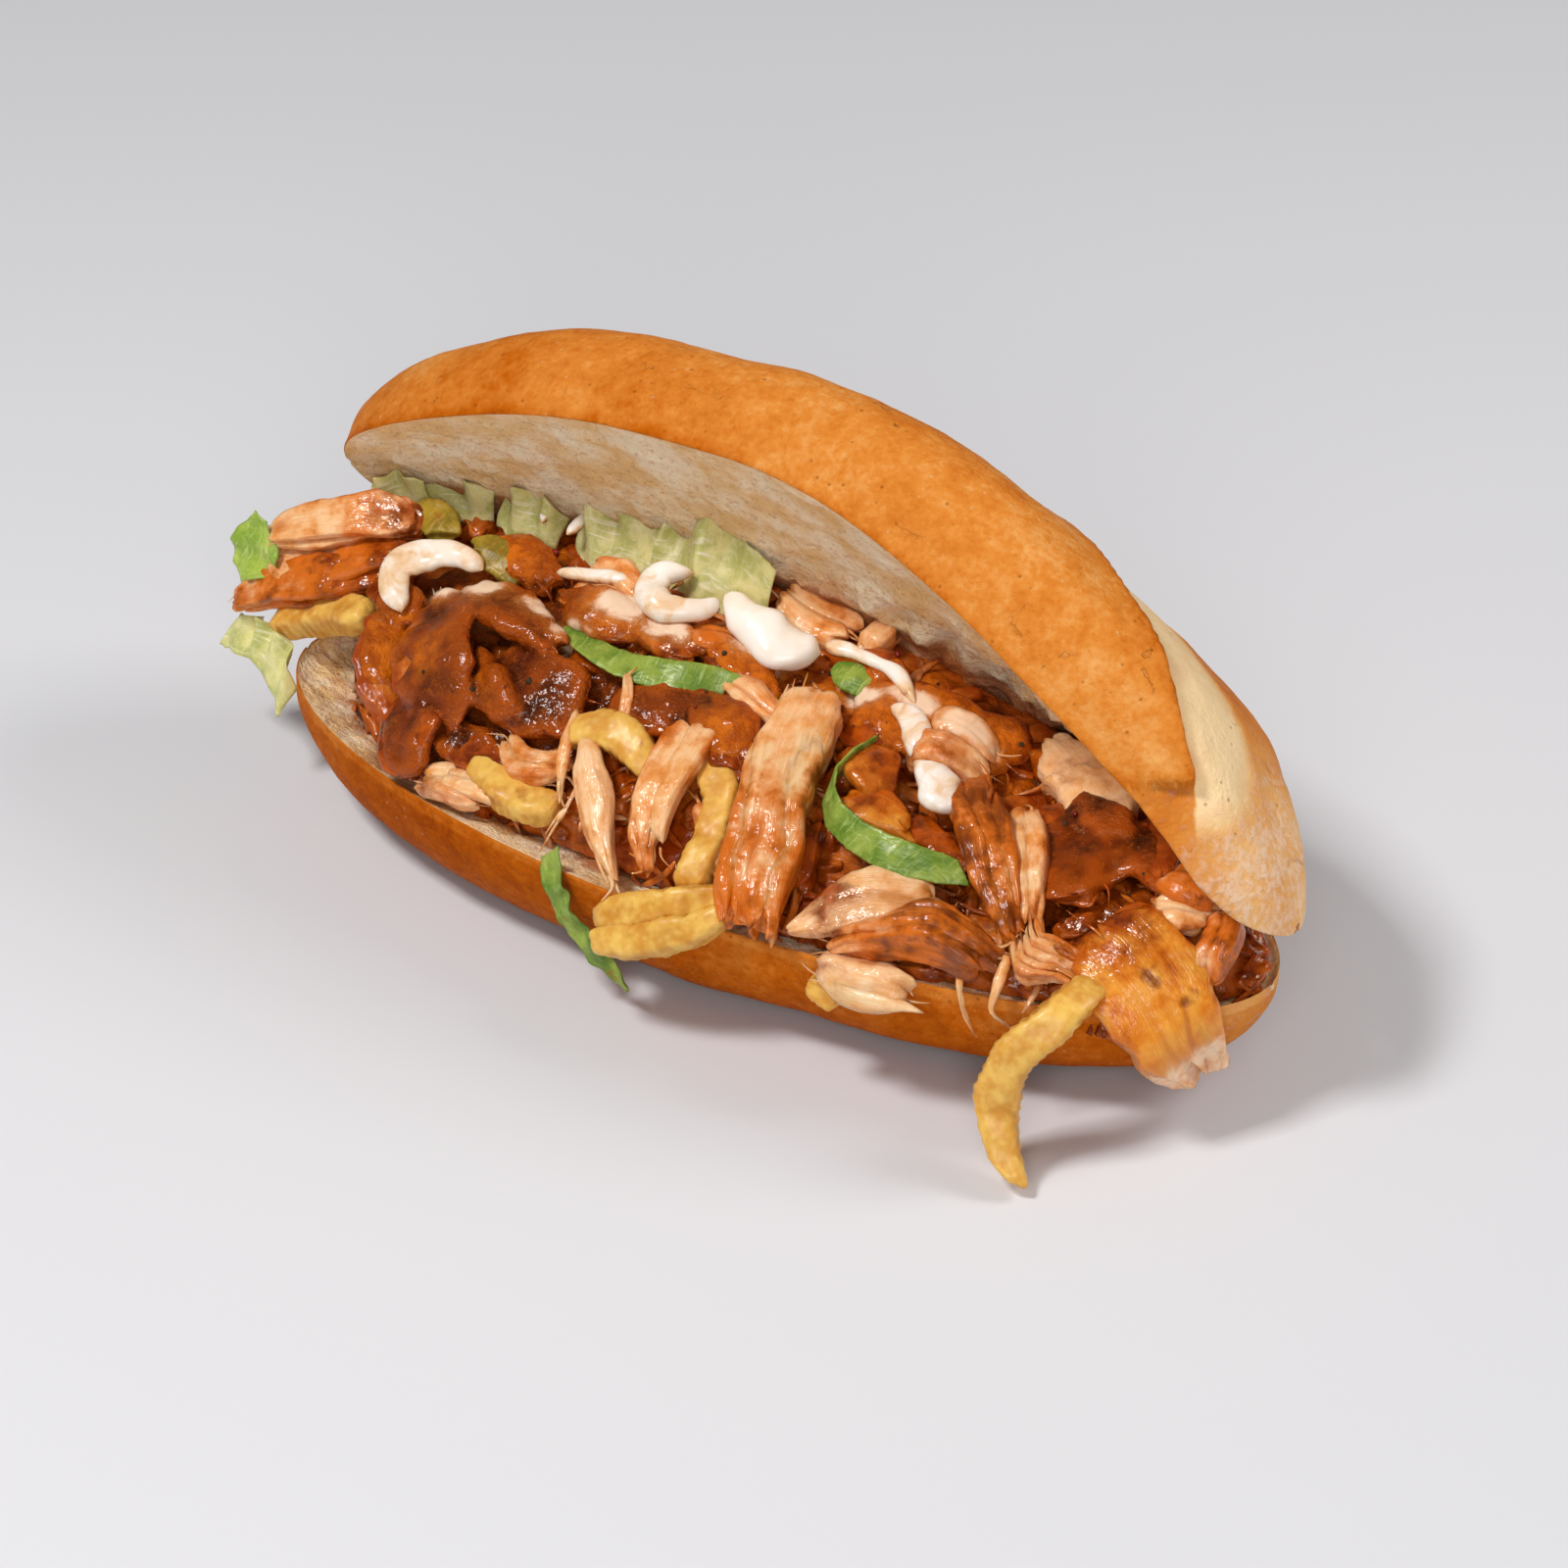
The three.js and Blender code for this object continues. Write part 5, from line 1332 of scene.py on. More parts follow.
SAUCED_PIECES = {
    # laid is a line over the slope, as x, share of the way up and height, then widths and a thickness
    "chicken_sauced_diagonal": dict(
        glaze=0.4,
        laid=([(-98, 0.56, 4), (-91, 0.4, 9), (-85, 0.26, 9), (-80, 0.16, 5)], (9, 17, 21, 11), 4),
        sauce=(0.6, 0.3, 0.2, 0.5), twist=20),
    "chicken_sauced_orange": dict(
        laid=([(-114, 0.42, 2), (-107, 0.28, 5), (-98, 0.1, 4)], (9, 13, 11), 4), sauce=0.25, twist=-22),
    "chicken_sauced_dark": dict(
        laid=([(-94, 0.6, 3), (-77, 0.55, 8), (-57, 0.52, 5)], (9, 15, 10), 4.5), char=0.3, sauce=0.8,
        twist=-24),
    "chicken_sauced_middle": dict(
        laid=([(-74, 0.42, 2), (-60, 0.34, 4), (-44, 0.36, 3)], (14, 24, 16), 5), char=0.4, sauce=0.95,
        twist=10),
    "chicken_sauced_low": dict(
        laid=([(-93, 0.22, 4), (-88, 0.1, 7), (-82, -0.02, 5)], (11, 17, 12), 4), char=0.6, sauce=1.0,
        twist=24),
    "chicken_sauced_right": dict(
        laid=([(-42, 0.4, 2), (-24, 0.43, 4), (-8, 0.5, 4), (4, 0.52, 1)], (12, 15, 14, 9), 5), char=0.2,
        sauce=0.85),
    "chicken_orange_upper": dict(
        material=OILED, laid=([(23, 0.56, 2), (32, 0.49, 5), (41, 0.43, 3)], (11, 15, 9), 4.5), sauce=0.6,
        glaze=0.5, twist=-12),
    "chicken_orange_lower": dict(
        material=OILED, laid=([(30, 0.38, 3), (39, 0.4, 5), (50, 0.37, 3)], (9, 12, 8), 5.5), sauce=0.35,
        glaze=0.4),
    "chicken_skin": dict(
        laid=([(96, 0.82, 2), (107, 0.72, 4), (117, 0.6, 3)], (9, 13, 8), 4), char=0.25, sauce=0.5),
    "chicken_smeared": dict(
        laid=([(60, 0.92, 3), (72, 0.88, 5), (86, 0.8, 5), (100, 0.66, 3)], (8, 15, 14, 7), 7), glaze=0.1,
        sauce=0.3, material=BREAST),
    "chicken_upper_left": dict(sauce=0.6, wide=1.2, glaze=0.4),
    "chicken_upper_middle": dict(sauce=0.5, wide=1.2, glaze=0.4),
}
# More meat that has no CAD node of its own: it lies between and under the larger pieces.
LOOSE_SAUCED = {
    "sauced_ridge": dict(
        laid=([(-80, 0.43, 4), (-70, 0.31, 6), (-60, 0.22, 5)], (5, 9, 7), 5), sauce=0.45, glaze=0.5,
        twist=30),
    "sauced_top_left": dict(
        laid=([(-97, 0.86, 2), (-85, 0.8, 4), (-72, 0.74, 3)], (8, 13, 9), 4.5), sauce=0.9, char=0.3,
        twist=-10),
    "sauced_far_left": dict(
        laid=([(-122, 0.44, 2), (-111, 0.46, 4), (-101, 0.46, 3)], (6, 10, 8), 4), sauce=0.7),
    "sauced_lower_middle": dict(
        laid=([(-80, 0.16, 3), (-68, 0.14, 4), (-58, 0.1, 3)], (8, 12, 7), 5), sauce=0.85, char=0.3),
    "sauced_sheet": dict(
        laid=([(18, 0.68, 2), (34, 0.75, 5), (52, 0.78, 4), (62, 0.74, 2)], (16, 24, 24, 14), 4), sauce=0.9),
    "sauced_brown": dict(laid=([(-26, 0.7, 2), (-13, 0.66, 5), (0, 0.64, 2)], (6, 10, 6), 4), sauce=0.7),
    "sauced_over": dict(
        laid=([(-16, 0.52, 4), (-8, 0.46, 6), (2, 0.36, 5)], (12, 16, 11), 4.5), sauce=0.75, twist=-8),
    "sauced_dark_bit": dict(
        laid=([(48, 0.43, 2), (56, 0.38, 4), (64, 0.34, 3)], (5, 8, 6), 4), char=0.5, sauce=0.8),
    "sauced_right_bit": dict(laid=([(12, 0.88, 2), (19, 0.85, 4), (25, 0.84, 2)], (6, 9, 6), 4), sauce=0.6),
    "sauced_pool_bed": dict(
        laid=([(74, 0.74, 1), (88, 0.6, 3), (104, 0.46, 3)], (18, 26, 20), 4), sauce=0.95),
    "sauced_behind_large": dict(
        laid=([(24, 0.34, 1), (27, 0.22, 3), (30, 0.12, 2)], (6, 8, 6), 5), sauce=0.8, char=0.4),
}
LOOSE_CHICKEN = {
    "end_slice_middle": dict(
        laid=([(-158, 0.4, 8), (-137, 0.58, 8), (-114, 0.7, 3)], (9, 15, 12), 4.5), glaze=(0.4, 0.7),
        sauce=(0.1, 0.3, 0.8), char=0.3, lobes=1, cord=5, power=4, twist=-30),
    "loose_cream_left": dict(
        laid=([(-66, 0.8, 2), (-55, 0.77, 4), (-45, 0.74, 3)], (8, 14, 9), 5), glaze=(0.5, 0.1, 0.3),
        sauce=0.35),
    "loose_orange": dict(
        laid=([(-31, 0.7, 3), (-25, 0.71, 5), (-19, 0.74, 3)], (4, 8, 5), 4), glaze=0.8, sauce=0.3),
    "loose_slice": dict(
        laid=([(-17, 0.62, 3), (-7, 0.59, 5), (4, 0.55, 4)], (6, 10, 6), 4), glaze=(0.1, 0.2, 0.4), char=0.2,
        lobes=1, cord=4),
    "loose_strand": dict(
        laid=([(-37, 0.5, 5), (-34, 0.41, 6), (-32, 0.32, 5)], (2, 3, 2), 2.2), glaze=0.3, lobes=1,
        threads=2),
    "loose_between": dict(laid=([(-4, 0.24, 2), (3, 0.17, 3), (8, 0.09, 2)], (5, 8, 5), 4), glaze=0.2),
    "loose_right": dict(
        laid=([(66, 0.12, 2), (75, 0.1, 4), (84, 0.12, 2)], (4, 7, 4), 4), glaze=0.4, sauce=0.3),
    "loose_pale_edge": dict(
        laid=([(-72, 0.03, 3), (-62, 0.06, 4), (-52, 0.05, 3)], (5, 8, 5), 4), glaze=0.15, sauce=0.2),
    "loose_near_nose": dict(
        laid=([(116, 0.5, 2), (121, 0.58, 4), (127, 0.66, 2)], (6, 9, 6), 6), glaze=0.3, sauce=0.3),
    "hanging_strand_1": dict(
        laid=([(76, 0.06, 3), (79, -0.03, 3), (81, -0.06, -4), (84, -0.07, -12)], (2, 2.6, 2, 1.2), 1.4),
        glaze=0.1, lobes=1, threads=2, power=2.2),
    "hanging_strand_2": dict(
        laid=([(87, 0.1, 3), (89, -0.02, 3), (88, -0.06, -3), (92, -0.05, -8)], (1.6, 2.2, 1.8, 1), 1.2),
        glaze=0.1, lobes=1, threads=2, power=2.2),
    "hanging_strand_3": dict(
        laid=([(-36, 0.24, 5), (-37, 0.12, 5), (-38, 0.0, 4)], (1.2, 2, 1.4), 1.2), glaze=0.1, lobes=1,
        threads=3, power=2.2),
    "hanging_strand_4": dict(
        laid=([(-45, 0.33, 5), (-42, 0.2, 6), (-39, 0.08, 5)], (1.4, 2.6, 1.4), 1.6), glaze=0.2, lobes=1,
        threads=3, power=2.2),
}
CHIPS = {
    "chip_hanging": dict(sauce=0.0), "chip_upper": dict(sauce=(0.5, 0.1, 0.1)),
    "chip_behind": dict(sauce=0.1), "chip_low": dict(sauce=0.35), "chip_left": dict(sauce=0.3),
    "chip_end": dict(sauce=0.1),
    "chip_double": dict(
        sauce=0.03,
        lobes=(Lobe(-0.42, -0.5, 0.55, 0.0, 0.98, 0.15), Lobe(0.45, 0.5, 0.55, 0.02, 1.0, -0.1))),
}
MAYOS = {
    "mayo_ring": dict(
        route=((-92, 0.7, 5), (-99, 0.72, 7), (-108, 0.68, 7), (-113, 0.57, 8), (-110, 0.47, 8),
               (-106, 0.42, 7)),
        wide=(5, 8, 10, 11, 9, 6), thick=5, sauce=0.25),
    "mayo_swirl": dict(
        route=((-36, 0.88, 6), (-43, 0.85, 8), (-43, 0.77, 8), (-36, 0.71, 8), (-29, 0.75, 8),
               (-26, 0.82, 7)),
        wide=(3, 7, 9, 8, 7, 4), thick=6, sauce=0.1),
    "mayo_large": dict(
        route=((-26, 0.86, 6), (-17, 0.8, 7), (-7, 0.76, 8), (3, 0.8, 6)), wide=(5, 11, 15, 8), thick=8,
        sauce=0.08),
    "mayo_streak_right": dict(
        route=((3, 0.84, 6), (13, 0.84, 7), (24, 0.84, 7), (33, 0.76, 7)), wide=(5, 4, 5, 2), thick=3.5,
        sauce=0.15),
    "mayo_streak_left": dict(
        route=((-72, 0.76, 6), (-62, 0.78, 7), (-50, 0.8, 6)), wide=(2, 5, 3), thick=3.5, sauce=0.2),
    "mayo_curl": dict(
        route=((28, 0.72, 6), (34, 0.71, 8), (39, 0.65, 8), (41, 0.58, 6)), wide=(3, 7, 8, 4), thick=5,
        sauce=0.25),
    "mayo_low": dict(
        route=((40, 0.63, 6), (46, 0.56, 8), (53, 0.5, 8), (58, 0.5, 6)), wide=(4, 8, 11, 5), thick=6,
        sauce=0.25),
}
DRIPS = {
    "drip_1": dict(route=((-86, 1.02, 7), (-85, 0.96, 8), (-84, 0.92, 8)), wide=(2, 3.5, 3), thick=3),
    "drip_2": dict(route=((-76, 1.0, 7), (-75, 0.94, 8), (-76, 0.9, 8)), wide=(2, 3, 2.5), thick=2.6),
    "drip_3": dict(route=((-36, 1.0, 6), (-35, 0.97, 7), (-35, 0.93, 7)), wide=(2, 4, 3.5), thick=3),
}
RIBBONS = {
    "green_ribbon_left": dict(material=GREEN, slot="green_leaf", ruffle=0.45, sauce=0.2),
    "green_ribbon_right": dict(material=GREEN, slot="green_leaf", ruffle=0.35, sauce=0.05),
    "green_fold": dict(material=GREEN, slot="green_leaf", ruffle=0.5, sauce=0.2),
    "pepper_left": dict(material=PEPPER, slot="pepper", ruffle=0.5, sauce=0.4),
    "pepper_right": dict(material=PEPPER, slot="pepper", ruffle=0.5, sauce=0.4),
}
CRISP = {
    "green_hanging": dict(material=GREEN, slot="green_leaf", folds=3, depth=1.6, frill=1.6, sauce=0.4),
    "green_frill": dict(material=FRILL, slot="green_leaf", folds=2, depth=1.5, frill=2.5, sauce=0.0),
    "lettuce_end": dict(material=PALE, slot="pale_lettuce", folds=3, depth=1.8, sauce=0.05),
    "lettuce_1": dict(material=PALE, slot="pale_lettuce", folds=1.3, depth=3.2, wide=1.4, sauce=0.05),
    "lettuce_2": dict(material=PALE, slot="pale_lettuce", folds=1.6, depth=3.2, wide=1.4, sauce=0.08),
    "lettuce_3": dict(material=PALE, slot="pale_lettuce", folds=2.2, depth=3.4, wide=1.4, sauce=0.05),
    "lettuce_4": dict(material=PALE, slot="pale_lettuce", folds=2.2, depth=3.4, wide=1.4, sauce=0.05),
    "lettuce_5": dict(material=PALE, slot="pale_lettuce", folds=1.8, depth=3.2, wide=1.4, sauce=0.05),
}


def make_pieces():
    """Makes every piece of the filling, and gives back the sauced ones, which the brown sauce runs over."""
    sauced = {name: {**SAUCED_SLAB, **how} for name, how in {**SAUCED_PIECES, **LOOSE_SAUCED}.items()}
    made = {}
    kinds = (
        (100, torn_chicken, CHICKEN_PIECES), (700, chip, CHIPS), (800, ribbon, RIBBONS),
        (850, crisp_leaf, CRISP), (900, squeezed_mayo, MAYOS), (1000, squeezed_mayo, DRIPS),
        (400, torn_chicken, LOOSE_CHICKEN), (500, torn_chicken, sauced),
    )
    for first, make, table in kinds:  # first is the first piece's seed
        for number, (name, how) in enumerate(table.items()):
            made[name] = make(name, first + 7 * number, **how)
    return [made[name] for name in sauced]


# ---------------------------------------------------------------- the heap and its sauce


def on_slope(points):
    """For places in the row frame: x in the roll's own frame, and the share of the way up the slope."""
    x, y, z = (points - MIDDLE).T
    fy, fz, ty, tz = slope_lines(x)
    dy, dz = ty - fy, tz - fz
    return x, ((y - fy) * dy + (z - fz) * dz) / (dy**2 + dz**2)


def patches(x, share, spots):
    """How much of a patch covers each place: spots are x, share, half the length and half the height."""
    total = np.zeros(len(x))
    for cx, cs, rx, rs in spots:
        total = np.maximum(total, np.clip(1.35 - np.hypot((x - cx) / rx, (share - cs) / rs), 0, 1))
    return total


SAUCE_DEEP = 0.7  # how far thick sauce stands out
SAUCE_SUNK = 2.2  # how far the skin is sunk where none lies
# Where sauce lies in a smooth pool, where it lies thick, where it is thin and orange, and where mayonnaise is
# smeared over it: x, share, half length, half height.
POOL = ((94, 0.56, 18, 0.22),)
THICK_SAUCE = ((-80, 0.5, 38, 0.3), (-62, 0.36, 26, 0.2), (-84, 0.16, 14, 0.2), (-26, 0.47, 26, 0.1),
               (94, 0.56, 18, 0.3), (46, 0.9, 12, 0.1), (108, 0.5, 14, 0.16))
THIN_SAUCE = ((-104, 0.34, 12, 0.24), (-88, 0.34, 8, 0.22), (-70, 0.32, 8, 0.1), (-90, 0.75, 18, 0.2),
              (40, 0.78, 26, 0.22), (14, 0.72, 18, 0.14), (-10, 0.7, 20, 0.12), (-8, 0.44, 12, 0.1),
              (106, 0.34, 12, 0.12), (-50, 0.7, 18, 0.14))
CREAM = ((-99, 0.56, 10, 0.07), (-87, 0.61, 11, 0.07), (-69, 0.6, 9, 0.05), (-58, 0.57, 9, 0.05),
         (-49, 0.7, 12, 0.08), (-34, 0.68, 10, 0.06), (-12, 0.72, 10, 0.05), (18, 0.74, 10, 0.05),
         (32, 0.77, 10, 0.06), (48, 0.74, 12, 0.08))


def make_heap():
    """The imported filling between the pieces: chopped chicken with sauce between the bits."""
    heap = remeshed(node_copy("chopped_filling", "filling"), HEAP_VOXEL)
    relaxed(heap, 5)
    points, normals = points_of(heap), normals_of(heap)
    front = smoothstep(-0.3, 0.4, normals[:, 2] - normals[:, 1])
    rough, pick = layered(points, 8, 3, 71), lumps(points, 10, 72)
    gap = smoothstep(0.2, 0.0, np.abs(rough)) * smoothstep(-0.2, 0.4, pick)
    move = front * (0.4 + 1.6 * rough - 0.9 * gap + 0.8 * lumps(points, 9, 73))
    points = points + normals * move[:, None]
    move_points(heap, points)
    give(heap, SAUCED)
    set_values(heap, "grain", points * [1.0, 1.3, 1.1])
    # Painted shade: the sunk gaps between the chopped bits are darkened through the meat's groove colour.
    set_values(heap, "groove", gap)
    set_values(heap, "glaze", np.clip(0.5 + 0.6 * pick, 0, 1))
    set_values(heap, "char", np.clip(0.15 + 0.3 * lumps(points, 6, 74), 0, 1))
    set_values(heap, "sauce", np.clip(0.6 + 0.4 * lumps(points, 7, 75), 0, 1))
    return finished(heap, "filling")


def make_sauce(heap, slabs):
    """The brown sauce: one skin over the heap and the sauced pieces, thick in places and sunk elsewhere."""
    under = bmesh.new()
    for obj in (heap, *slabs):
        under.from_mesh(obj.data)
    mesh = bpy.data.meshes.new("sauce_skin")
    under.to_mesh(mesh)
    under.free()
    sauce = remeshed(link(bpy.data.objects.new("sauce_skin", mesh)), SAUCE_VOXEL)
    relaxed(sauce, 2)
    points, normals = points_of(sauce), normals_of(sauce)
    smooth = averaged(sauce, points, 25)
    hollow = np.sum((smooth - points) * normals, axis=1)
    x, share = on_slope(points)
    uneven = 0.3 * layered(points, 14, 3, 81)
    thick = patches(x, share, THICK_SAUCE) + uneven
    thin = patches(x, share, THIN_SAUCE) + uneven
    cream, calm = patches(x, share, CREAM), patches(x, share, POOL)
    cover = np.maximum(smoothstep(0.15, 0.5, thick), smoothstep(0.25, 0.6, thin))
    cover = np.maximum(cover, smoothstep(0.35, 0.6, cream))
    grain = 0.4 * lumps(points, 2.2, 82) + 0.5 * lumps(points, 4.5, 83) * smoothstep(0.2, 0.8, thick)
    grain = grain * (1 - 0.7 * calm)
    # Where no sauce lies, the skin sinks out of sight; where it does, it stands out and fills the hollows.
    stand = SAUCE_SUNK + SAUCE_DEEP + 0.35 * np.clip(hollow, -1, 2) + grain
    move = cover * stand - SAUCE_SUNK + 0.4 * smoothstep(0.3, 0.9, cream)
    points = points + normals * move[:, None]
    move_points(sauce, points)
    give(sauce, SAUCE)
    set_values(sauce, "hollow", smoothstep(-0.8, 1.2, hollow))
    set_values(sauce, "thin", np.clip(thin - 0.75 * thick + 0.1, 0, 1))
    set_values(sauce, "cream", cream)
    set_values(sauce, "calm", calm)
    return finished(sauce, "filling")


# ---------------------------------------------------------------- small bits scattered over the slope


def scatter_group(name, seed):
    """Geometry Nodes: stands small bits on a surface at random, then makes them one plain mesh."""
    group = bpy.data.node_groups.new(name, "GeometryNodeTree")
    kinds = {"Surface": "Geometry", "Bits": "Collection", "Density": "Float", "Mask": "String",
             "Smallest": "Float", "Largest": "Float", "Tilt": "Float", "Material": "Material"}
    for label, kind in kinds.items():
        group.interface.new_socket(label, in_out="INPUT", socket_type="NodeSocket" + kind)
    group.interface.new_socket("Bits mesh", in_out="OUTPUT", socket_type="NodeSocketGeometry")
    given = group.nodes.new("NodeGroupInput").outputs
    mask = add_node(group, "GeometryNodeInputNamedAttribute", {"data_type": "FLOAT"}, Name=given["Mask"])
    density = add_node(group, "ShaderNodeMath", {"operation": "MULTIPLY"}, i0=given["Density"], i1=mask)
    dots = add_node(group, "GeometryNodeDistributePointsOnFaces", None, "Points", Mesh=given["Surface"],
                    Density=density, Seed=seed)
    bits = add_node(group, "GeometryNodeCollectionInfo", Collection=given["Bits"], Separate_Children=True,
                    Reset_Children=True)
    size = add_node(group, "FunctionNodeRandomValue", {"data_type": "FLOAT"}, 1, i2=given["Smallest"],
                    i3=given["Largest"], Seed=seed + 1)
    lean = add_node(group, "ShaderNodeCombineXYZ", X=given["Tilt"], Y=given["Tilt"], Z=math.pi)
    back = add_node(group, "ShaderNodeVectorMath", {"operation": "SCALE"}, Vector=lean, Scale=-1.0)
    turn = add_node(group, "FunctionNodeRandomValue", {"data_type": "FLOAT_VECTOR"}, i0=back, i1=lean,
                    Seed=seed + 2)
    turned = add_node(group, "FunctionNodeRotateRotation", {"rotation_space": "LOCAL"},
                      Rotation=dots.node.outputs["Rotation"], Rotate_By=turn)
    stood = add_node(group, "GeometryNodeInstanceOnPoints", Points=dots, Instance=bits, Pick_Instance=True,
                     Rotation=turned, Scale=size)
    real = add_node(group, "GeometryNodeRealizeInstances", Geometry=stood)
    dressed = add_node(group, "GeometryNodeSetMaterial", Geometry=real, Material=given["Material"])
    group.links.new(dressed, group.nodes.new("NodeGroupOutput").inputs[0])
    return group


def scatter(name, surface, bits, density, mask, sizes, tilt, material, seed):
    """Scatters bits over a surface: density counts them on a square metre, and mask names an attribute."""
    holder = bpy.data.collections.new(name + "_bits")
    for number, (points, faces, groove) in enumerate(bits):
        bit = mesh_object(f"{name}_bit_{number}", points, faces)
        bpy.context.scene.collection.objects.unlink(bit)
        holder.objects.link(bit)
        set_values(bit, "groove", groove)
        set_values(bit, "grain", np.asarray(points, float))
    obj = link(bpy.data.objects.new(name, surface.data.copy()))
    modifier = obj.modifiers.new("scatter", "NODES")
    modifier.node_group = group = scatter_group(name + "_nodes", seed)
    values = {"Bits": holder, "Density": float(density), "Mask": mask, "Smallest": sizes[0],
              "Largest": sizes[1], "Tilt": float(tilt), "Material": material}
    for item in group.interface.items_tree:
        if item.item_type == "SOCKET" and item.in_out == "INPUT" and item.name in values:
            modifier[item.identifier] = values[item.name]
    obj.update_tag()
    applied(obj)
    for bit in list(holder.objects):
        discard(bit)
    bpy.data.collections.remove(holder)
    bpy.data.node_groups.remove(group)
    give(obj, material)
    points = points_of(obj)
    for label, level, step in (("glaze", 0.4, 5), ("char", 0.15, 4), ("sauce", 0.35, 5)):
        set_values(obj, label, np.clip(level + 0.4 * lumps(points, 9, seed + step), 0, 1))
    finished(obj)


def shred(random, long, wide):
    """One pulled thread of meat, a little curved, lying along x."""
    t = np.linspace(-0.5, 0.5, 6)
    bow, side = random.uniform(-0.15, 0.25) * long, random.uniform(-0.2, 0.2) * long
    line = np.stack([long * t, side * t * t * 4, wide * 0.5 + bow * (0.25 - t * t)], -1)
    radii = wide / 2 * (1 - (2 * np.abs(t)) ** 3 * 0.7)
    points, faces = tube(line, radii, 0.6, turn=random.uniform(0, 3))
    return points, faces, np.zeros(len(points))


def scrap(random, long, wide):
    """One chopped scrap of meat: a short uneven block with its fibres along x."""
    seed = int(random.integers(1, 999))

    def rows(share):
        taper = 0.7 + 0.3 * np.sin(np.pi * share)
        return -wide / 2 * taper, wide / 2 * taper, 0 * share - wide * 0.2, wide * 0.45 * taper

    def relief(u, s, around):
        turn = 2 * np.pi * u / around
        place = np.stack([2 * np.cos(turn), 2 * np.sin(turn), s / 2.5], -1)
        return 0.3 * wide * lumps(place, 1.1, seed), 0.3 + 0 * s

    return ring_body(-long / 2, long / 2, rows, 3.0, relief, (0.4, 0.4), seed, max(wide / 4.0, 0.5))


def fleck(random, size, flat=0.3):
    """A small angular flake with seven corners; flat is its height over its size."""
    corners = 7
    angle = np.linspace(0, 2 * np.pi, corners, endpoint=False)
    reach = size / 2 * random.uniform(0.6, 1.1, corners)
    ring = np.stack([reach * np.cos(angle), reach * np.sin(angle)], -1)
    points = [(*p, 0.0) for p in ring] + [(*(0.85 * p), size * flat) for p in ring]
    faces = [tuple(range(corners))[::-1], tuple(range(corners, 2 * corners))]
    faces += [(i, (i + 1) % corners, corners + (i + 1) % corners, corners + i) for i in range(corners)]
    return np.array(points), faces, np.zeros(2 * corners)


def facing_front(points, normals, low, high):
    """Where a surface faces the open side, between the foot, eased over `low`, and the top of the slope."""
    _, share = on_slope(points)
    front = smoothstep(0.1, 0.5, normals[:, 2] - normals[:, 1])
    return front * smoothstep(low, high, share) * smoothstep(1.0, 0.9, share)


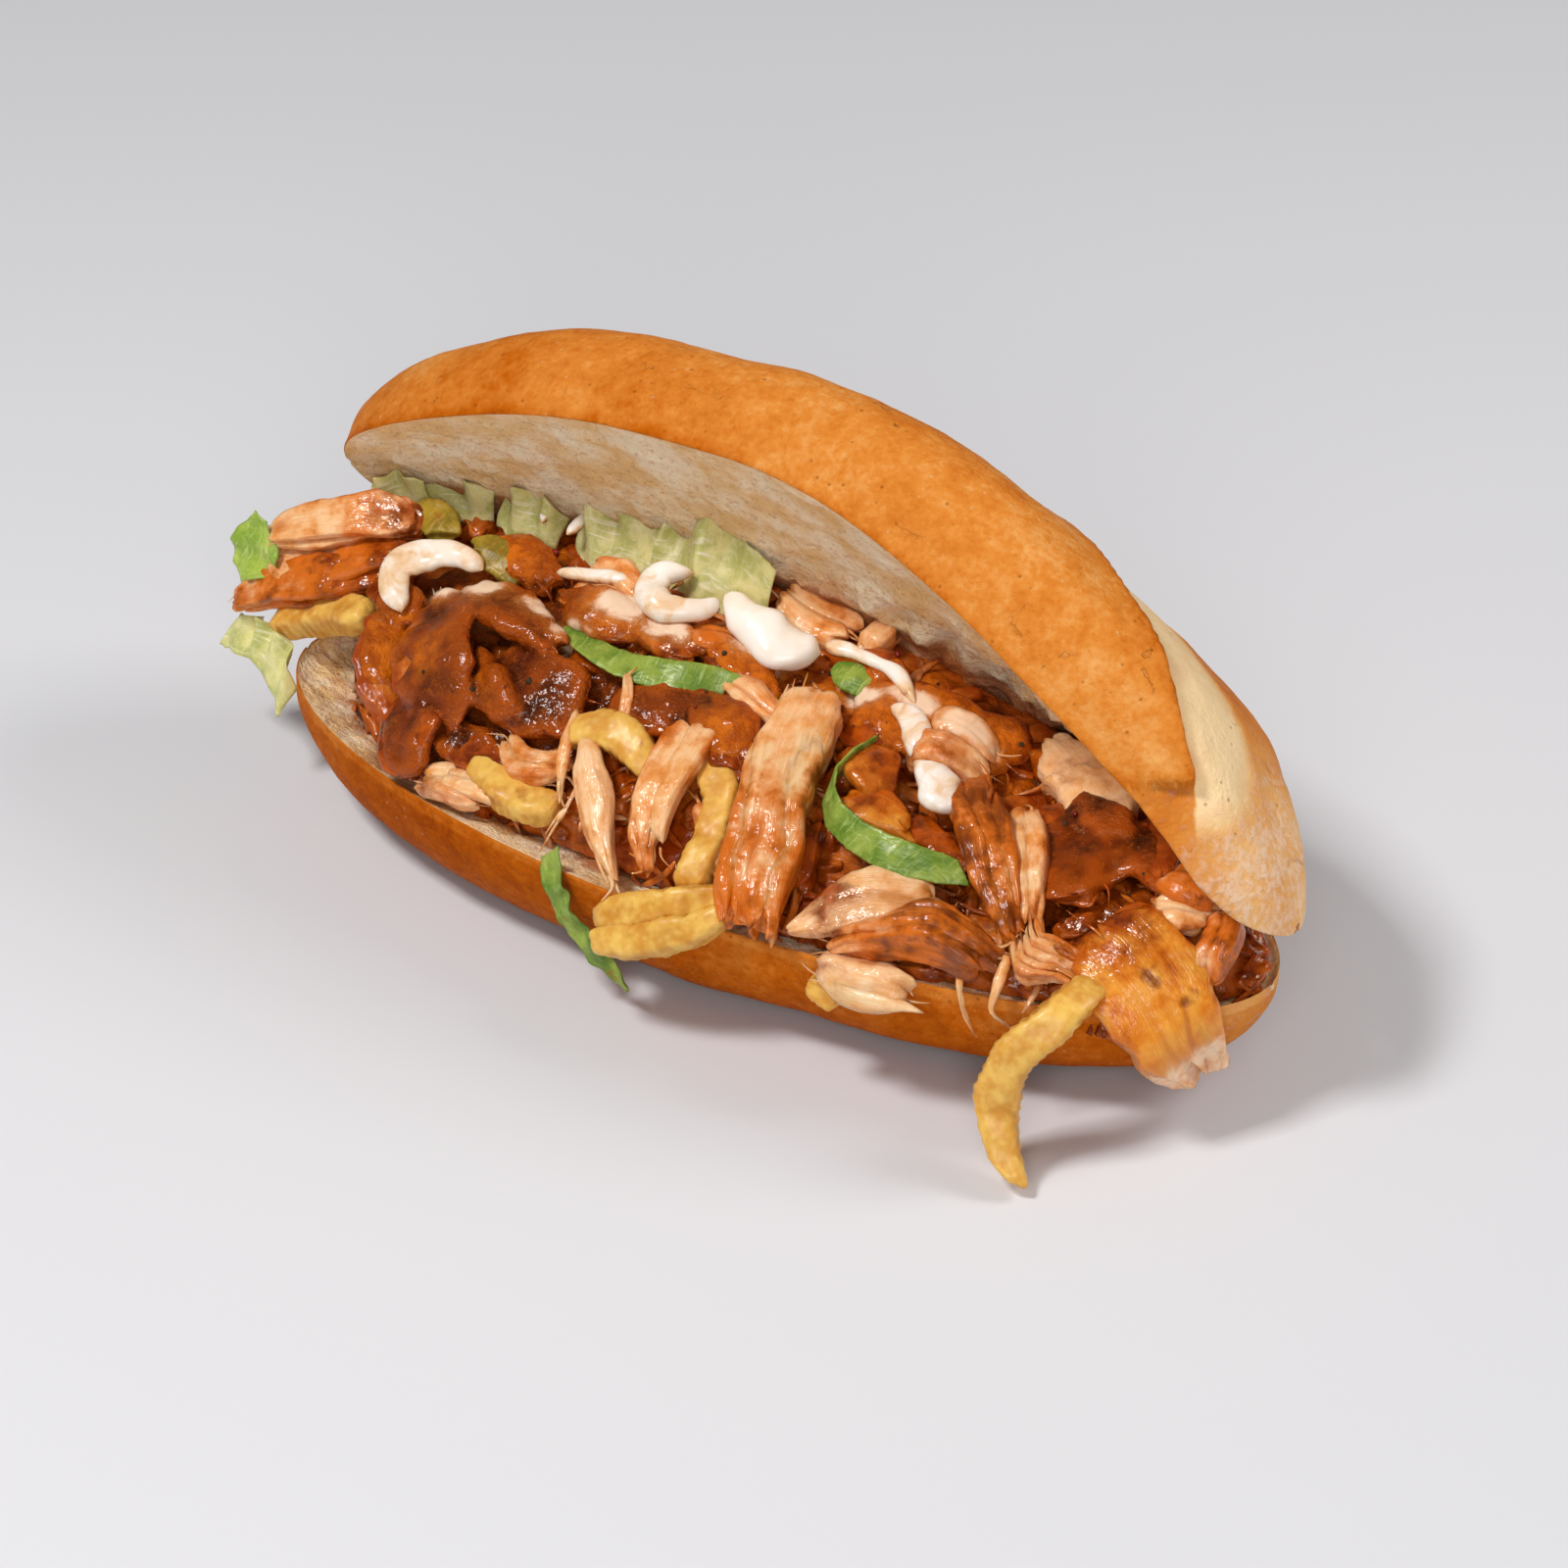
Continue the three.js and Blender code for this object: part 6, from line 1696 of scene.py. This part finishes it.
def scatter_bits(heap, sauce):
    """Chopped meat between the pieces, and herbs and chilli in the sauce."""
    random = np.random.default_rng(5)
    points = points_of(heap)
    bare = np.clip(1 - patches(*on_slope(points), THICK_SAUCE[:2]) * 1.2, 0, 1)
    set_values(heap, "bits", facing_front(points, normals_of(heap), -0.02, 0.06) * bare)
    shreds = [shred(random, random.uniform(7, 15), random.uniform(1.4, 2.6)) for _ in range(6)]
    scraps = [scrap(random, random.uniform(5, 11), random.uniform(3, 5.5)) for _ in range(7)]
    scatter("chicken_shreds", heap, shreds, 9000, "bits", (0.7, 1.3), 0.3, CHICKEN, 21)
    scatter("chicken_scraps", heap, scraps, 16000, "bits", (0.7, 1.4), 0.4, SAUCED, 22)
    points = points_of(sauce)
    brown = smoothstep(0.4, 0.2, patches(*on_slope(points), CREAM))
    set_values(sauce, "specks", facing_front(points, normals_of(sauce), 0.0, 0.1) * brown)
    herbs = [fleck(random, random.uniform(1.0, 2.2)) for _ in range(5)]
    scatter("herb_flecks", sauce, herbs, 3500, "specks", (0.4, 1.2), 0.5, HERB, 23)
    chillies = [fleck(random, random.uniform(1.2, 2.2), 0.5) for _ in range(4)]
    scatter("chilli_bits", sauce, chillies, 600, "specks", (0.7, 1.3), 0.5, CHILLI, 24)


# ---------------------------------------------------------------- floor, light and camera


def stage():
    """A plain pale floor under a soft sky, with a small key light and two larger ones."""
    corners = [(-3000, -3000, 0), (3000, -3000, 0), (3000, 3000, 0), (-3000, 3000, 0)]
    floor = mesh_object("floor", corners, [(0, 1, 2, 3)], (plain("pale_floor", "#DAD9DB", 0.9),))
    world = bpy.data.worlds.new("studio")
    world.use_nodes = True
    sky = world.node_tree.nodes["Background"].inputs
    sky["Color"].default_value = linear("#F4F4F6")
    sky["Strength"].default_value = 0.17
    bpy.context.scene.world = world
    for name, place, size, power in (
        ("key", (-0.42, -0.65, 1.35), 0.3, 15),
        ("fill", (0.7, -1.35, 0.9), 0.7, 9),
        ("rim", (1.0, 0.7, 1.1), 0.6, 10),
    ):
        light = bpy.data.lights.new(name, "AREA")
        light.size = size
        light.energy = power
        obj = link(bpy.data.objects.new(name, light))
        obj.location = place
        obj.rotation_euler = (-Vector(place)).to_track_quat("-Z", "Y").to_euler()


def camera():
    """Looks down on the filled side from the right: 30 degrees round, 35 degrees up, with a long lens."""
    turn, rise, lens, away = math.radians(30), math.radians(35), 135.0, 1.5
    right = Vector((math.cos(turn), math.sin(turn), 0))
    back = Vector((math.sin(turn) * math.cos(rise), -math.cos(turn) * math.cos(rise), math.sin(rise)))
    up = back.cross(right)
    aim = Vector(MIDDLE) * MM + (right * 1.3 + up * 32.3) * MM
    data = bpy.data.cameras.new("camera")
    data.sensor_width = 36
    data.lens = lens
    data.clip_end = 20
    obj = link(bpy.data.objects.new("camera", data))
    obj.location = aim + back * away
    obj.rotation_euler = (-back).to_track_quat("-Z", "Y").to_euler()
    bpy.context.scene.camera = obj
    bpy.context.scene.view_settings.view_transform = "Standard"


make_lid()
make_base()
make_web()
sauced_pieces = make_pieces()
heap_piece = make_heap()
sauce_piece = make_sauce(heap_piece, sauced_pieces)
scatter_bits(heap_piece, sauce_piece)
stage()
camera()
